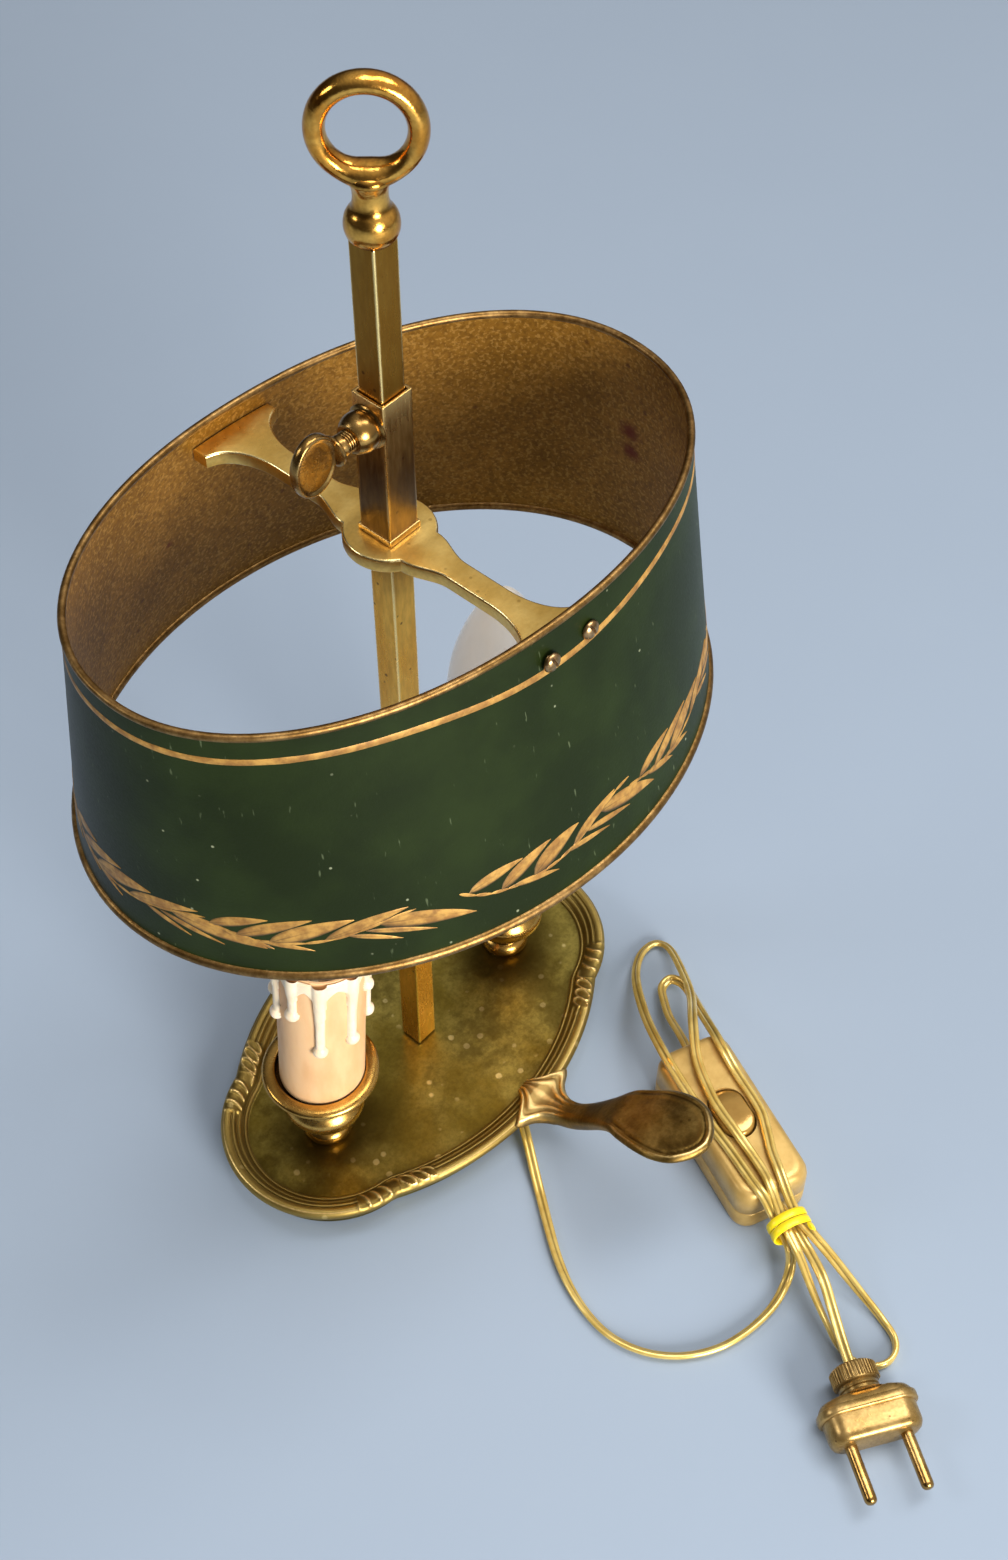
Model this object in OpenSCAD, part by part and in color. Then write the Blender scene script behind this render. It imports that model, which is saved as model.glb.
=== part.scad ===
// Bouillotte lamp: an oval brass tray with two candle lights, a square stem with a ring,
// and an oval painted shade that slides on the stem and is held by a thumbscrew.
// Millimetres. Origin at the middle of the underside, +X to one candle, +Z up,
// the tray's handle towards -Y.

/* [Tray] */
// Distance of each end lobe's centre from the middle
lobe_x = 46.2; // [44:0.2:49]
// How much less the end lobes' radius is than half of the tray's width
lobe_step = 15; // [14:0.5:17]
// Radius of the two long sides
side_r = 100; // [92:1:108]
// Half of the tray's width across the long sides
half_width = 52; // [50:0.5:54]
// Width of the reeded rim
rim_w = 9.5; // [8.5:0.1:10.5]
// Height of the rim's crest above the tray's floor
rim_h = 4.5; // [4:0.1:5]
// Thickness of the tray's sheet
tray_t = 1.6; // [1.2:0.1:2]
// Height of the room for the wires under the tray
wiring_room = 4.9; // [4.6:0.1:6]
// Thickness of the base cover
cover_t = 1; // [0.6:0.1:1.2]
// Thickness of the felt under the base cover
felt_t = 1; // [0.6:0.1:2]
// Diameter of the raised seat that the stem stands on
stem_seat_d = 13; // [12:0.5:15]

/* [Handle] */
// How far the thumb handle's tip stands out from the middle
handle_reach = 116; // [108:1:124]
// Height of the thumb rest above the tray's floor
handle_rise = 42; // [34:1:48]
// Width of the thumb rest
thumb_rest_w = 27; // [22:0.5:32]
// Place of the handle along the tray's long side
handle_x = 3; // [-4:0.5:8]

/* [Stem] */
// Width of the square stem
bar_w = 8.2; // [7:0.1:9]
// Length of the stem above the tray's floor
bar_len = 332; // [310:1:350]
// Turn of the stem about its own axis
stem_turn = -3.3; // [-10:0.1:10]
// Diameter of the stud at the stem's foot
stud_d = 8; // [6:0.5:8]
// Diameter of the finial's ball
ball_d = 13; // [12:0.5:15]
// Diameter of the finial's neck
neck_d = 8.6; // [7.5:0.1:10]
// Diameter of the finial's ring, at the middle of its wire
ring_d = 22.6; // [20:0.2:26]
// Thickness of the finial's ring
ring_t = 4.8; // [4:0.1:5.6]
// Height of the ring's middle above the stem
ring_rise = 28.7; // [27:0.1:32]
// Turn of the ring about the stem
finial_turn = -52; // [-90:1:90]

/* [Slide] */
// Outer width of the square slide
slide_w = 10.5; // [10.2:0.1:12]
// Wall of the slide
slide_wall = 0.85; // [0.6:0.05:0.9]
// Length of the slide
slide_len = 46; // [36:1:54]
// Height of the slide's lower end above the tray's floor
slide_z = 242.7; // [225:0.5:255]
// Height of the thumbscrew above the slide's lower end
screw_z = 37.8; // [30:0.2:39]
// Diameter of the thumbscrew's thread
thread_d = 5; // [4:0.1:5.6]
// Diameter of the ball boss that the thumbscrew turns in
boss_d = 11; // [10:0.2:12]
// Length of the boss
boss_len = 6.8; // [6:0.1:8]
// Height of the thumbscrew's paddle, across its axis
paddle_h = 18; // [14:0.5:20]
// Length of the thumbscrew's paddle, along its axis
paddle_len = 14; // [12:0.5:16]
// Thickness of the paddle
paddle_t = 2.8; // [2:0.1:3.6]

/* [Shade] */
// Length of the shade at its lower edge
shade_low_l = 201.6; // [190:0.2:212]
// Width of the shade at its lower edge
shade_low_w = 155.8; // [146:0.2:164]
// Length of the shade at its upper edge
shade_top_l = 185.6; // [174:0.2:192]
// Width of the shade at its upper edge
shade_top_w = 118.9; // [110:0.1:126]
// Height of the shade with its two beads
shade_h = 85.5; // [70:0.5:96]
// How far the shade's upper edge stands above the bracket
shade_above = 8.1; // [7:0.1:12]
// Thickness of the shade's sheet
shade_wall = 0.8; // [0.5:0.1:1.2]
// Thickness of the bead along the shade's upper edge
top_bead_d = 2.2; // [1.8:0.1:3]
// Thickness of the bead along the shade's lower edge
low_bead_d = 3.2; // [2.6:0.1:4]
// Squareness of the shade's upper edge, where 2 is an ellipse
shade_top_n = 2.12; // [2:0.02:2.6]
// Turn of the shade on the slide
shade_turn = -5.2; // [-8:0.1:8]

/* [Bracket] */
// Thickness of the bracket
bracket_t = 4.5; // [3.5:0.1:5.5]
// Diameter of the bracket's collar
collar_d = 25; // [22:0.5:28]
// Width of the bracket's arms
arm_w = 7.2; // [6:0.1:9]
// Width of the bracket's feet against the shade
foot_w = 26.4; // [22:0.2:32]
// Turn of the bracket on the slide
bracket_turn = 0; // [-4:0.1:4]
// Distance between the two screws of a foot
screw_gap = 14.6; // [12:0.2:17]
// Diameter of the shade screws
shade_screw_d = 2.9; // [2.5:0.1:3]
// Diameter of the shade screws' heads
screw_head_d = 5.4; // [4.8:0.1:6.4]

/* [Candles] */
// Distance of each candle from the middle
candle_x = 48; // [45:0.5:51]
// Height of the candle cups above the tray's floor
cup_h = 39.5; // [36:0.5:44]
// Diameter of the cups' rims
cup_rim_d = 38; // [34:0.5:40]
// Outer diameter of the candle sleeves
sleeve_d = 27.6; // [26.6:0.2:28.4]
// Wall of the candle sleeves
sleeve_wall = 1; // [0.6:0.1:1.2]
// Length of the candle sleeves
sleeve_len = 70.2; // [64:0.2:78]
// Lean of the left sleeve, which stands loose in its cup
sleeve_lean = 3.4; // [0:0.2:3.6]
// Depth of the seat in the cup
cup_seat = 3.2; // [2.6:0.1:3.4]
// Outer diameter of the threaded tubes
nipple_d = 8; // [7.6:0.1:8.4]
// Bore of the threaded tubes
nipple_bore = 5.6; // [5.2:0.1:6]
// Largest diameter of the bulbs
bulb_d = 35; // [30:1:37]
// Length of a bulb with its cap
bulb_len = 98; // [92:1:104]
// Diameter of a bulb's screw cap
cap_d = 13.9; // [13:0.1:14]

/* [Cord] */
// Width of the flat twin cord
cord_w = 3.6; // [3.4:0.1:4.8]
// Thickness of the flat twin cord
cord_t = 1.9; // [1.7:0.1:2.4]

/* [Switch] */
// Length of the cord switch
switch_len = 62; // [58:1:66]
// Width of the cord switch
switch_w = 27; // [25:0.5:29]
// Height of the cord switch
switch_h = 20; // [18:0.5:20]
// Length of the rocker
rocker_len = 19; // [16:0.5:22]
// Width of the rocker
rocker_w = 12; // [10:0.5:14]
// Tilt of the rocker to each side of level
rocker_tilt = 6; // [4:0.5:7]

/* [Plug] */
// Width of the plug's flange
plug_w = 32.6; // [32:0.2:36]
// Thickness of the plug's flange
plug_t = 15.6; // [15:0.2:17]
// Diameter of the plug's pins
pin_d = 4; // [3.8:0.1:4.4]
// Free length of the plug's pins
pin_len = 18; // [17:0.5:20]
// Distance between the plug's pins
pin_gap = 18.2; // [17.6:0.2:19]
// Diameter of the knurled collar
knurl_d = 15.4; // [14:0.2:16.4]

/* [Hidden] */
$fn = 64;

// Clearances
fit = 0.05;          // running fit, each side
slip = 0.3;          // loose slide on the stem, each side
seat = 0.02;         // between pieces that are pressed or glued together
loose = 0.15;        // between pieces that are hand fitted

// Heights of the base
cover_z = felt_t;
room_z = felt_t + cover_t;
sheet_z = room_z + wiring_room;
floor_z = sheet_z + tray_t;
bar_top = floor_z + bar_len;

// Heights of the slide and the shade
slide_low = floor_z + slide_z;
slide_top = slide_low + slide_len;
bracket_top = slide_low;
shade_top = bracket_top + shade_above;
top_z = shade_top - top_bead_d / 2;
low_z = shade_top - shade_h + low_bead_d / 2;
side_c = side_r - half_width;
lobe_r = half_width - lobe_step;

// The notch where a lobe meets a long side
lobe_dist = norm([lobe_x, side_c]);
lobe_in = (lobe_r^2 - side_r^2 + lobe_dist^2) / (2 * lobe_dist);
notch_a = 180 - acos(lobe_in / lobe_r) + atan2(side_c, lobe_x);
notch = [lobe_x + lobe_r * cos(notch_a), lobe_r * sin(notch_a)];
side_a = atan2(notch[0], notch[1] + side_c);
fill_a = notch_a + side_a - 90;

brass = "#a08a48";
bright_brass = "#c7a24e";
dark_brass = "#7c6538";

// ---------- shared shapes ----------

// One solid from a list of closed rings of points
module loft(rings) {
    n = len(rings[0]);
    m = len(rings);
    polyhedron(
        points = [for (r = rings) each r],
        faces = concat(
            [[for (i = [0:n - 1]) i]],
            [for (k = [0:m - 2], i = [0:n - 1]) each [
                [k * n + i, (k + 1) * n + i, (k + 1) * n + (i + 1) % n],
                [k * n + i, (k + 1) * n + (i + 1) % n, k * n + (i + 1) % n]]],
            [[for (i = [n - 1:-1:0]) (m - 1) * n + i]]));
}

function mix(a, b, s) = a + (b - a) * s;
function unit(v) = v / norm(v);
function power(v, p) = sign(v) * pow(abs(v), p);

// A point of a smooth curve through a list of points, at step s between points i and i+1
function curve_at(p, i, s) =
    let (a = p[max(i - 1, 0)], b = p[i], c = p[min(i + 1, len(p) - 1)], d = p[min(i + 2, len(p) - 1)])
    0.5 * (2 * b + (c - a) * s + (2 * a - 5 * b + 4 * c - d) * s^2 + (3 * b - a - 3 * c + d) * s^3);
function smooth(p, steps) = concat(
    [for (i = [0:len(p) - 2], k = [0:steps - 1]) curve_at(p, i, k / steps)], [p[len(p) - 1]]);

// A flat cord that lies level along a route
module flat_cord(route, steps, w, t, sides = 10) {
    p = smooth(route, steps);
    n = len(p);
    rings = [for (i = [0:n - 1])
        let (dir = unit(p[min(i + 1, n - 1)] - p[max(i - 1, 0)]),
            flat = abs(dir[2]) > 0.98 ? [0, 1, 0] : unit(cross(dir, [0, 0, 1])),
            up = cross(flat, dir))
        [for (k = [0:sides - 1]) p[i] + flat * w / 2 * cos(k * 360 / sides)
            + up * t / 2 * sin(k * 360 / sides)]];
    loft(rings);
}

// A ring of points of an oval; n = 2 is an ellipse, and a higher n is squarer
function oval(a, b, n, count) = [for (k = [0:count - 1])
    let (t = k * 360 / count) [a * power(cos(t), 2 / n), b * power(sin(t), 2 / n)]];

// ---------- base ----------

// The tray's plan, set in from its edge
module tray_plan(inset) {
    intersection() {
        intersection_for (s = [-1, 1]) translate([0, s * side_c]) circle(side_r - inset, $fn = 180);
        square([2 * notch[0], 2 * half_width], center = true);
    }
    for (s = [-1, 1]) translate([s * lobe_x, 0]) circle(lobe_r - inset, $fn = 120);
}

// Section of the hollow rim: up its set-back skirt, round the overhanging edge and down over the reeds,
// each point as distance inwards and height
edge_r = 2;
edge_z = floor_z + rim_h - edge_r;
skirt_drop = 0.8;
skirt_in = 4.2;
skirt_t = 1.2;
reed_line = [[3.7, 3.3], [4.4, 3.8], [5.1, 3.6], [5.8, 2.5], [6.5, 2.8], [7.2, 2.3], [7.8, 1.4],
    [8.4, 1.6], [9, 1.2], [9.5, 0.2]];
rim_section = concat([[skirt_in, room_z - skirt_drop], [skirt_in, edge_z - 2.3]],
    [for (a = [-70:20:130]) [edge_r - edge_r * cos(a), edge_z + edge_r * sin(a)]],
    [for (q = reed_line) [q[0], floor_z + q[1] * rim_h / 4.5]],
    [[rim_w + 1, floor_z - 0.3], [rim_w + 1, sheet_z + 0.3], [rim_w - 1.3, sheet_z + 0.6],
        [skirt_in + skirt_t + 1, floor_z + 0.1], [skirt_in + skirt_t, floor_z + 0.1],
        [skirt_in + skirt_t, room_z - skirt_drop]]);
// Places along the tray's edge: x, y, direction inwards, and how much wider the rim is there
lobe_steps = 24;
side_steps = 10;
quarter = concat(
    [for (i = [0:lobe_steps - 1]) let (a = mix(-notch_a, notch_a, (i + 0.5) / lobe_steps))
        [lobe_x + lobe_r * cos(a), lobe_r * sin(a), a + 180, 1]],
    [[notch[0], notch[1], 180 + notch_a - fill_a / 2, 1 / cos(fill_a / 2)]],
    [for (i = [0:side_steps - 1]) let (a = mix(90 - side_a, 90 + side_a, (i + 0.5) / side_steps))
        [side_r * cos(a), side_r * sin(a) - side_c, a + 180, 1]],
    [[-notch[0], notch[1], fill_a / 2 - notch_a, 1 / cos(fill_a / 2)]]);
edge = concat(quarter, [for (q = quarter) [-q[0], -q[1], q[2] + 180, q[3]]]);
module rim() tube([for (q = rim_section) [for (e = edge)
    [e[0] + q[0] * e[3] * cos(e[2]), e[1] + q[0] * e[3] * sin(e[2]), q[1]]]], []);
nipple_hole = nipple_d / 2 + fit;
seat_w = 10.4;
seat_z = floor_z + 1.7;
bush_w = 7;
bush_len = 5.6;
bush_turn = -37;
exit_at = [-3.5, skirt_in - half_width];
module tray() color(brass) difference() {
    union() {
        translate([0, 0, sheet_z]) linear_extrude(tray_t) tray_plan(rim_w);
        rim();
        translate([0, 0, floor_z]) cylinder(h = 0.8, d1 = stem_seat_d + 1.6, d2 = stem_seat_d);
    }
    translate([0, 0, sheet_z - 1]) cylinder(h = tray_t + 3, d = stud_d + 2 * fit);
    for (s = [-1, 1]) translate([s * candle_x, 0, sheet_z - 1]) cylinder(h = tray_t + 2, r = nipple_hole);
    translate([handle_x - seat_w / 2, -half_width - 1, seat_z]) cube([seat_w, rim_w + 1.4, rim_h + 3]);
    translate([handle_x, -half_width + rim_w / 2, sheet_z]) cylinder(h = 6, d = 3.2);
    translate([handle_x, -half_width + rim_w / 2, sheet_z - 1]) cylinder(h = 1 + tray_t + 0.5, d = 6);
    cord_passage(bush_w + 2 * fit, -2, sheet_z - room_z + 1.4);
}
module cord_passage(w, low, h) {
    translate([exit_at[0], exit_at[1], room_z + low]) rotate(bush_turn)
        translate([-w / 2, -2, 0]) cube([w, bush_len + 3, h]);
}
module cord_bush() color("#3a2f22") translate([exit_at[0], exit_at[1], room_z + fit]) rotate(bush_turn)
    difference() {
        translate([-bush_w / 2, 0.6, 0]) cube([bush_w, bush_len, wiring_room - 0.8]);
        translate([-cord_w / 2 - fit, 0, (wiring_room - cord_t) / 2 - 0.4])
            cube([cord_w + 2 * fit, bush_len + 2, cord_t + 2 * fit]);
    }
module base_cover() color("#8a7a4a") translate([0, 0, cover_z]) difference() {
    linear_extrude(cover_t) tray_plan(skirt_in + skirt_t + 0.3);
    translate([0, 0, -0.01]) cylinder(h = cover_t + 0.02, d1 = 7.4, d2 = 5);
}
module felt_pad() color("#2f5a3a") linear_extrude(felt_t) tray_plan(skirt_in + skirt_t + 1.1);
module cover_screw() color("#b8a060") {
    translate([0, 0, cover_z]) cylinder(h = cover_t, d1 = 7.2, d2 = 4.8);
    translate([0, 0, room_z]) cylinder(h = 3.5, d = 3.4);
}
module splice_block() color("#d8d0b8") translate([splice_at[0], splice_at[1], room_z + 0.1])
    cube([splice[0], splice[1], wiring_room - 0.2]);

// ---------- thumb handle ----------

thumb_z = floor_z + handle_rise;
root_y = half_width - rim_w + 0.4;
// Stations along the handle: distance out, height, half width, half thickness
handle_line = [
    [root_y, seat_z + 1.2, 3.8, 1.4], [half_width - 6, seat_z + 2.4, 4.4, 2.6],
    [half_width - 2.4, seat_z + 2.2, 5.1, 3], [half_width + 0.3, seat_z + 1.4, 5.1, 3.4],
    [half_width + 0.4, seat_z + 1.2, 8.6, 3.4], [half_width + 4, seat_z + 1.6, 6.2, 3.4],
    [half_width + 9, seat_z + 3, 4.8, 3.4], [half_width + 14, seat_z + 6, 4.7, 3.4],
    [half_width + 20, seat_z + 12.4, 5.2, 3.2], [half_width + 26, seat_z + 20.4, 6.6, 2.9],
    [half_width + 32, seat_z + 28.4, 9, 2.6], [handle_reach - 27, thumb_z - 8.6, 11, 2.3],
    [handle_reach - 20, thumb_z - 4.6, thumb_rest_w / 2 - 0.4, 2.1],
    [handle_reach - 13, thumb_z - 2.2, thumb_rest_w / 2, 1.9],
    [handle_reach - 7, thumb_z - 1, thumb_rest_w / 2 - 2, 1.8],
    [handle_reach - 2.6, thumb_z - 0.4, thumb_rest_w / 2 - 6.4, 1.7],
    [handle_reach, thumb_z - 0.2, 1.4, 1.2]];
function handle_ring(i) =
    let (n = len(handle_line), s = handle_line[i], a = handle_line[max(i - 1, 0)],
        b = handle_line[min(i + 1, n - 1)],
        root = i < 6, dir = root ? [1, 0] : unit([b[0] - a[0], b[1] - a[1]]))
    [for (q = oval(s[2], s[3], root ? 3 : 2.5, 20))
        [handle_x + q[0], -(s[0] - q[1] * dir[1]), s[1] + q[1] * dir[0]]];
module thumb_handle() color(dark_brass) difference() {
    loft([for (i = [len(handle_line) - 1:-1:0]) handle_ring(i)]);
    translate([handle_x - 20, -half_width - 0.2, seat_z - 20]) cube([40, 20, 20]);
    translate([handle_x, -half_width + rim_w / 2, seat_z - 1]) cylinder(h = 3.6, d = 2.6);
}
module handle_screw() color("#9a8a60") translate([handle_x, -half_width + rim_w / 2, 0]) {
    translate([0, 0, seat_z - 2.3]) cylinder(h = 4.6, d = 2.5);
    translate([0, 0, sheet_z + 0.2]) cylinder(h = 1.85, d = 5.2);
}

// ---------- stem ----------

module bar(w, h) translate([-w / 2, -w / 2, 0]) cube([w, w, h]);
module stem_bar() color(brass) rotate(stem_turn) difference() {
    union() {
        translate([0, 0, floor_z + 0.8]) bar(bar_w, bar_len - 0.8);
        translate([0, 0, room_z]) cylinder(h = floor_z + 0.8 - room_z, d = stud_d);
    }
    translate([0, 0, room_z - 1]) cylinder(h = 5, d = 3.5);
    translate([0, 0, bar_top - 9]) cylinder(h = 10, d = finial_stud_d + 2 * fit);
}
stem_nut_t = 2.6;
stem_washer_t = 0.8;
module stem_washer() color("#a89868") translate([0, 0, sheet_z - stem_washer_t]) difference() {
    cylinder(h = stem_washer_t, d = stud_d + 8);
    translate([0, 0, -1]) cylinder(h = 3, d = stud_d + 0.3);
}
module nut(d, across, h) difference() {
    cylinder(h = h, d = across / cos(30), $fn = 6);
    translate([0, 0, -1]) cylinder(h = h + 2, d = d);
}
module stem_nut() color("#a89868") translate([0, 0, sheet_z - stem_washer_t - stem_nut_t])
    nut(stud_d + 2 * fit, stud_d + 5, stem_nut_t);

finial_stud_d = 4;
module finial() color(brass) translate([0, 0, bar_top]) {
    cylinder(h = 2.4, d1 = 10.4, d2 = 9);
    translate([0, 0, ball_d / 2 + 0.2]) sphere(d = ball_d, $fn = 48);
    neck_h = ring_rise - ring_d / 2;
    cylinder(h = neck_h, d = neck_d);
    translate([0, 0, neck_h - 1.9]) cylinder(h = 2.2, d1 = neck_d, d2 = neck_d + 2.6);
    translate([0, 0, ring_rise]) rotate([0, 0, finial_turn]) rotate([90, 0, 0])
        rotate_extrude($fn = 72) translate([ring_d / 2, 0]) circle(d = ring_t, $fn = 32);
    translate([0, 0, -7]) cylinder(h = 8, d = finial_stud_d);
}

// ---------- slide, thumbscrew and bracket ----------

slide_in = slide_w - 2 * slide_wall;
screw_height = slide_low + screw_z;
// Things that point out of the slide's thumbscrew side, with their axis along local +Z
module on_screw_side() rotate(stem_turn) translate([0, 0, screw_height]) rotate([0, -90, 0]) children();
module slide_sleeve() color(brass) difference() {
    rotate(stem_turn) {
        translate([0, 0, slide_low]) bar(slide_w, slide_len);
        translate([0, 0, slide_low]) bar(slide_w + 1, 2);
    }
    rotate(stem_turn) translate([0, 0, slide_low - 1]) bar(slide_in, slide_len + 2);
    on_screw_side() cylinder(h = slide_w, d = thread_d + 2 * fit);
}
module screw_boss() color(brass) on_screw_side() translate([0, 0, slide_w / 2]) rotate_extrude(convexity = 4)
    difference() {
        union() {
            square([boss_d / 2 + 0.2, 1]);
            intersection() {
                translate([0, boss_len / 2 - 0.4]) circle(d = boss_d);
                square([boss_d, boss_len]);
            }
        }
        translate([-1, -1]) square([thread_d / 2 + fit + 1, boss_len + 2]);
    }
screw_tip = bar_w / 2 + 0.2;
boss_end = slide_w / 2 + boss_len;
paddle_at = boss_end + 5.2 + paddle_len / 2;
module thumbscrew() color(brass) on_screw_side() {
    translate([0, 0, screw_tip]) cylinder(h = boss_end + 3 - screw_tip, d = thread_d);
    translate([0, 0, boss_end + 2.4]) cylinder(h = 3.4, d1 = 5.4, d2 = 6.2);
    translate([0, 0, boss_end + 4.6]) cylinder(h = 1.4, d = 8.2);
    translate([0, 0, paddle_at]) rotate([90, 0, 0]) linear_extrude(paddle_t, center = true)
        polygon(oval(paddle_h / 2, paddle_len / 2, 2, 40));
}

foot_y = shade_b(bracket_top) - shade_wall / 2 - loose;
// Half the bracket's width at a distance from the stem
function arm_half(y) =
    let (from = foot_y - 22, s = min(1, max(0, (y - from) / 17)),
        root = collar_d / 2 - 2, k = min(1, max(0, (y - root) / 13)))
    y > from ? arm_w / 2 + (foot_w - arm_w) / 2 * (1 - sqrt(1 - s^2)) :
    arm_w / 2 + 3.4 * (1 + cos(180 * k)) / 2;
module bracket_plan() {
    circle(d = collar_d, $fn = 72);
    steps = 32;
    ys = [for (i = [0:steps]) mix(collar_d / 2 - 2, foot_y - 3.5, i / steps)];
    side = concat([[foot_w / 2, -foot_y - 2]], [for (i = [steps:-1:0]) [arm_half(ys[i]), -ys[i]]],
        [for (y = ys) [arm_half(y), y]], [[foot_w / 2, foot_y + 2]]);
    polygon(concat(side, [for (i = [len(side) - 1:-1:0]) [-side[i][0], side[i][1]]]));
}
bracket_angle = stem_turn + bracket_turn;
shade_angle = stem_turn + shade_turn;
module shade_screw_places() rotate(bracket_angle) for (s = [0, 180], x = [-1, 1])
    rotate(s) translate([x * screw_gap / 2, 0, bracket_top - bracket_t / 2]) rotate([90, 0, 0]) children();
module shade_bracket() color(bright_brass) difference() {
    translate([0, 0, bracket_top - bracket_t]) linear_extrude(bracket_t) intersection() {
        rotate(bracket_angle) bracket_plan();
        rotate(shade_angle) polygon(shade_oval(bracket_top, -shade_wall / 2 - loose, 120));
    }
    translate([0, 0, bracket_top - bracket_t - 1]) rotate(stem_turn) bar(slide_in, bracket_t + 2);
    shade_screw_places() translate([0, 0, foot_y - 8]) cylinder(h = 12, d = shade_screw_d + 2 * fit);
}
head_z = shade_b(bracket_top - bracket_t / 2 - screw_head_d / 2) + shade_wall / 2 + 0.3;
module shade_screws() color(dark_brass) shade_screw_places() {
    translate([0, 0, foot_y - 7.5]) cylinder(h = head_z - foot_y + 8, d = shade_screw_d);
    translate([0, 0, head_z]) difference() {
        intersection() {
            translate([0, 0, 2 - screw_head_d * 0.8]) sphere(r = screw_head_d * 0.8, $fn = 48);
            cylinder(h = 2, d = screw_head_d);
        }
        translate([-4, -0.4, 1.1]) cube([8, 0.8, 2]);
    }
}

// ---------- shade ----------

function shade_step(z) = (z - low_z) / (top_z - low_z);
function shade_b(z) = mix(shade_low_w - low_bead_d, shade_top_w - top_bead_d, shade_step(z)) / 2;
// The middle of the shade's sheet at a height, moved outwards by out
function shade_oval(z, out, count) =
    let (s = shade_step(z), r1 = out - low_bead_d / 2, r2 = out - top_bead_d / 2,
        low = oval(shade_low_l / 2 + r1, shade_low_w / 2 + r1, 2, count),
        top = oval(shade_top_l / 2 + r2, shade_top_w / 2 + r2, shade_top_n, count))
    [for (k = [0:count - 1]) mix(low[k], top[k], s)];
function shade_ring(z, out, count) = [for (q = shade_oval(z, out, count)) [q[0], q[1], z]];
module shade_band() color("#22301f") difference() {
    rotate(shade_angle) {
        levels = 3;
        count = 72;
        zs = [for (i = [0:levels]) mix(low_z + low_bead_d / 2 * cos(15), top_z - top_bead_d / 2 * cos(15), i / levels)];
        tube([for (z = zs) shade_ring(z, shade_wall / 2, count)],
            [for (z = zs) shade_ring(z, -shade_wall / 2, count)]);
    }
    shade_screw_places() translate([0, 0, foot_y - 2]) cylinder(h = 8, d = shade_screw_d + 0.3, $fn = 16);
}
// An open shell between outer and inner rings
module tube(outer, inner) {
    rings = concat(outer, [for (i = [len(inner) - 1:-1:0]) inner[i]]);
    n = len(rings[0]);
    m = len(rings);
    polyhedron(
        points = [for (r = rings) each r],
        faces = [for (k = [0:m - 1], i = [0:n - 1]) each [
            [k * n + i, ((k + 1) % m) * n + i, ((k + 1) % m) * n + (i + 1) % n],
            [k * n + i, ((k + 1) % m) * n + (i + 1) % n, k * n + (i + 1) % n]]]);
}
module bead(z, d) {
    sides = 12;
    count = 72;
    rotate(shade_angle) tube(
        [for (k = [0:sides / 2]) bead_ring(z, d, 90 - (k + 0.5) * 360 / sides + 15, count)],
        [for (k = [1:sides / 2 - 1]) bead_ring(z, d, 90 + (k + 0.5) * 360 / sides - 15, count)]);
}
function bead_ring(z, d, a, count) = [for (q = shade_oval(z, d / 2 * cos(a), count))
    [q[0], q[1], z + d / 2 * sin(a)]];
module shade_top_bead() color("#8f7048") bead(top_z, top_bead_d);
module shade_bottom_bead() color("#8f7048") bead(low_z, low_bead_d);

// ---------- candles ----------

cup_top = floor_z + cup_h;
seat_low = cup_top - cup_seat;
sleeve_top = seat_low + sleeve_len;
holder_top = sleeve_top - 7;
cap_z = sleeve_top + 2.6 - 27;
bulb_top = cap_z + bulb_len;
module at_candle(side) translate([side * candle_x, 0, 0]) children();

nut_t = 2;
module nipple() color(bright_brass) translate([0, 0, sheet_z - nut_t - 0.3]) difference() {
    cylinder(h = seat_low + 7 - sheet_z + nut_t + 0.3, d = nipple_d);
    translate([0, 0, -1]) cylinder(h = cup_h + 30, d = nipple_bore);
}
module nipple_left() at_candle(-1) nipple();
module nipple_right() at_candle(1) nipple();
module nipple_nuts() color("#a89868") for (s = [-1, 1]) at_candle(s)
    translate([0, 0, sheet_z - nut_t]) nut(nipple_d + 2 * fit, 14, nut_t);

bead_r = 8.3;
bowl_r = 13.4;
module cup() color(bright_brass) translate([0, 0, floor_z]) rotate_extrude() difference() {
    union() {
        square([6, 1]);
        translate([bead_r - 3.1, 3.1]) circle(3.1);
        square([5.6, 16]);
        translate([5.2, 7.2]) circle(0.9);
        translate([bowl_r - 6, 19.4]) circle(6);
        square([bowl_r - 6, cup_h - 2]);
        polygon([[0, 14], [12.6, 20], [12.2, cup_h - 11], [12.8, cup_h - 7.4], [14.4, cup_h - 5.2],
            [16.4, cup_h - 3.6], [cup_rim_d / 2 - 1.2, cup_h - 2.2], [cup_rim_d / 2 - 1.2, cup_h], [0, cup_h]]);
        translate([cup_rim_d / 2 - 1.1, cup_h - 1.1]) circle(1.1);
    }
    translate([-1, cup_h - cup_seat]) square([sleeve_d / 2 + 0.8 + 1, cup_seat + 1]);
    translate([-10, -1]) square([10 + nipple_hole, cup_h + 2]);
}
module cup_left() at_candle(-1) cup();
module cup_right() at_candle(1) cup();

flange_r = 11.8;
holder_r = 9.2;
disc_z = cap_z - 5.6;
disc_t = 2.6;
shell_r = cap_d / 2 + 0.3;
shell_t = 0.35;
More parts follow.
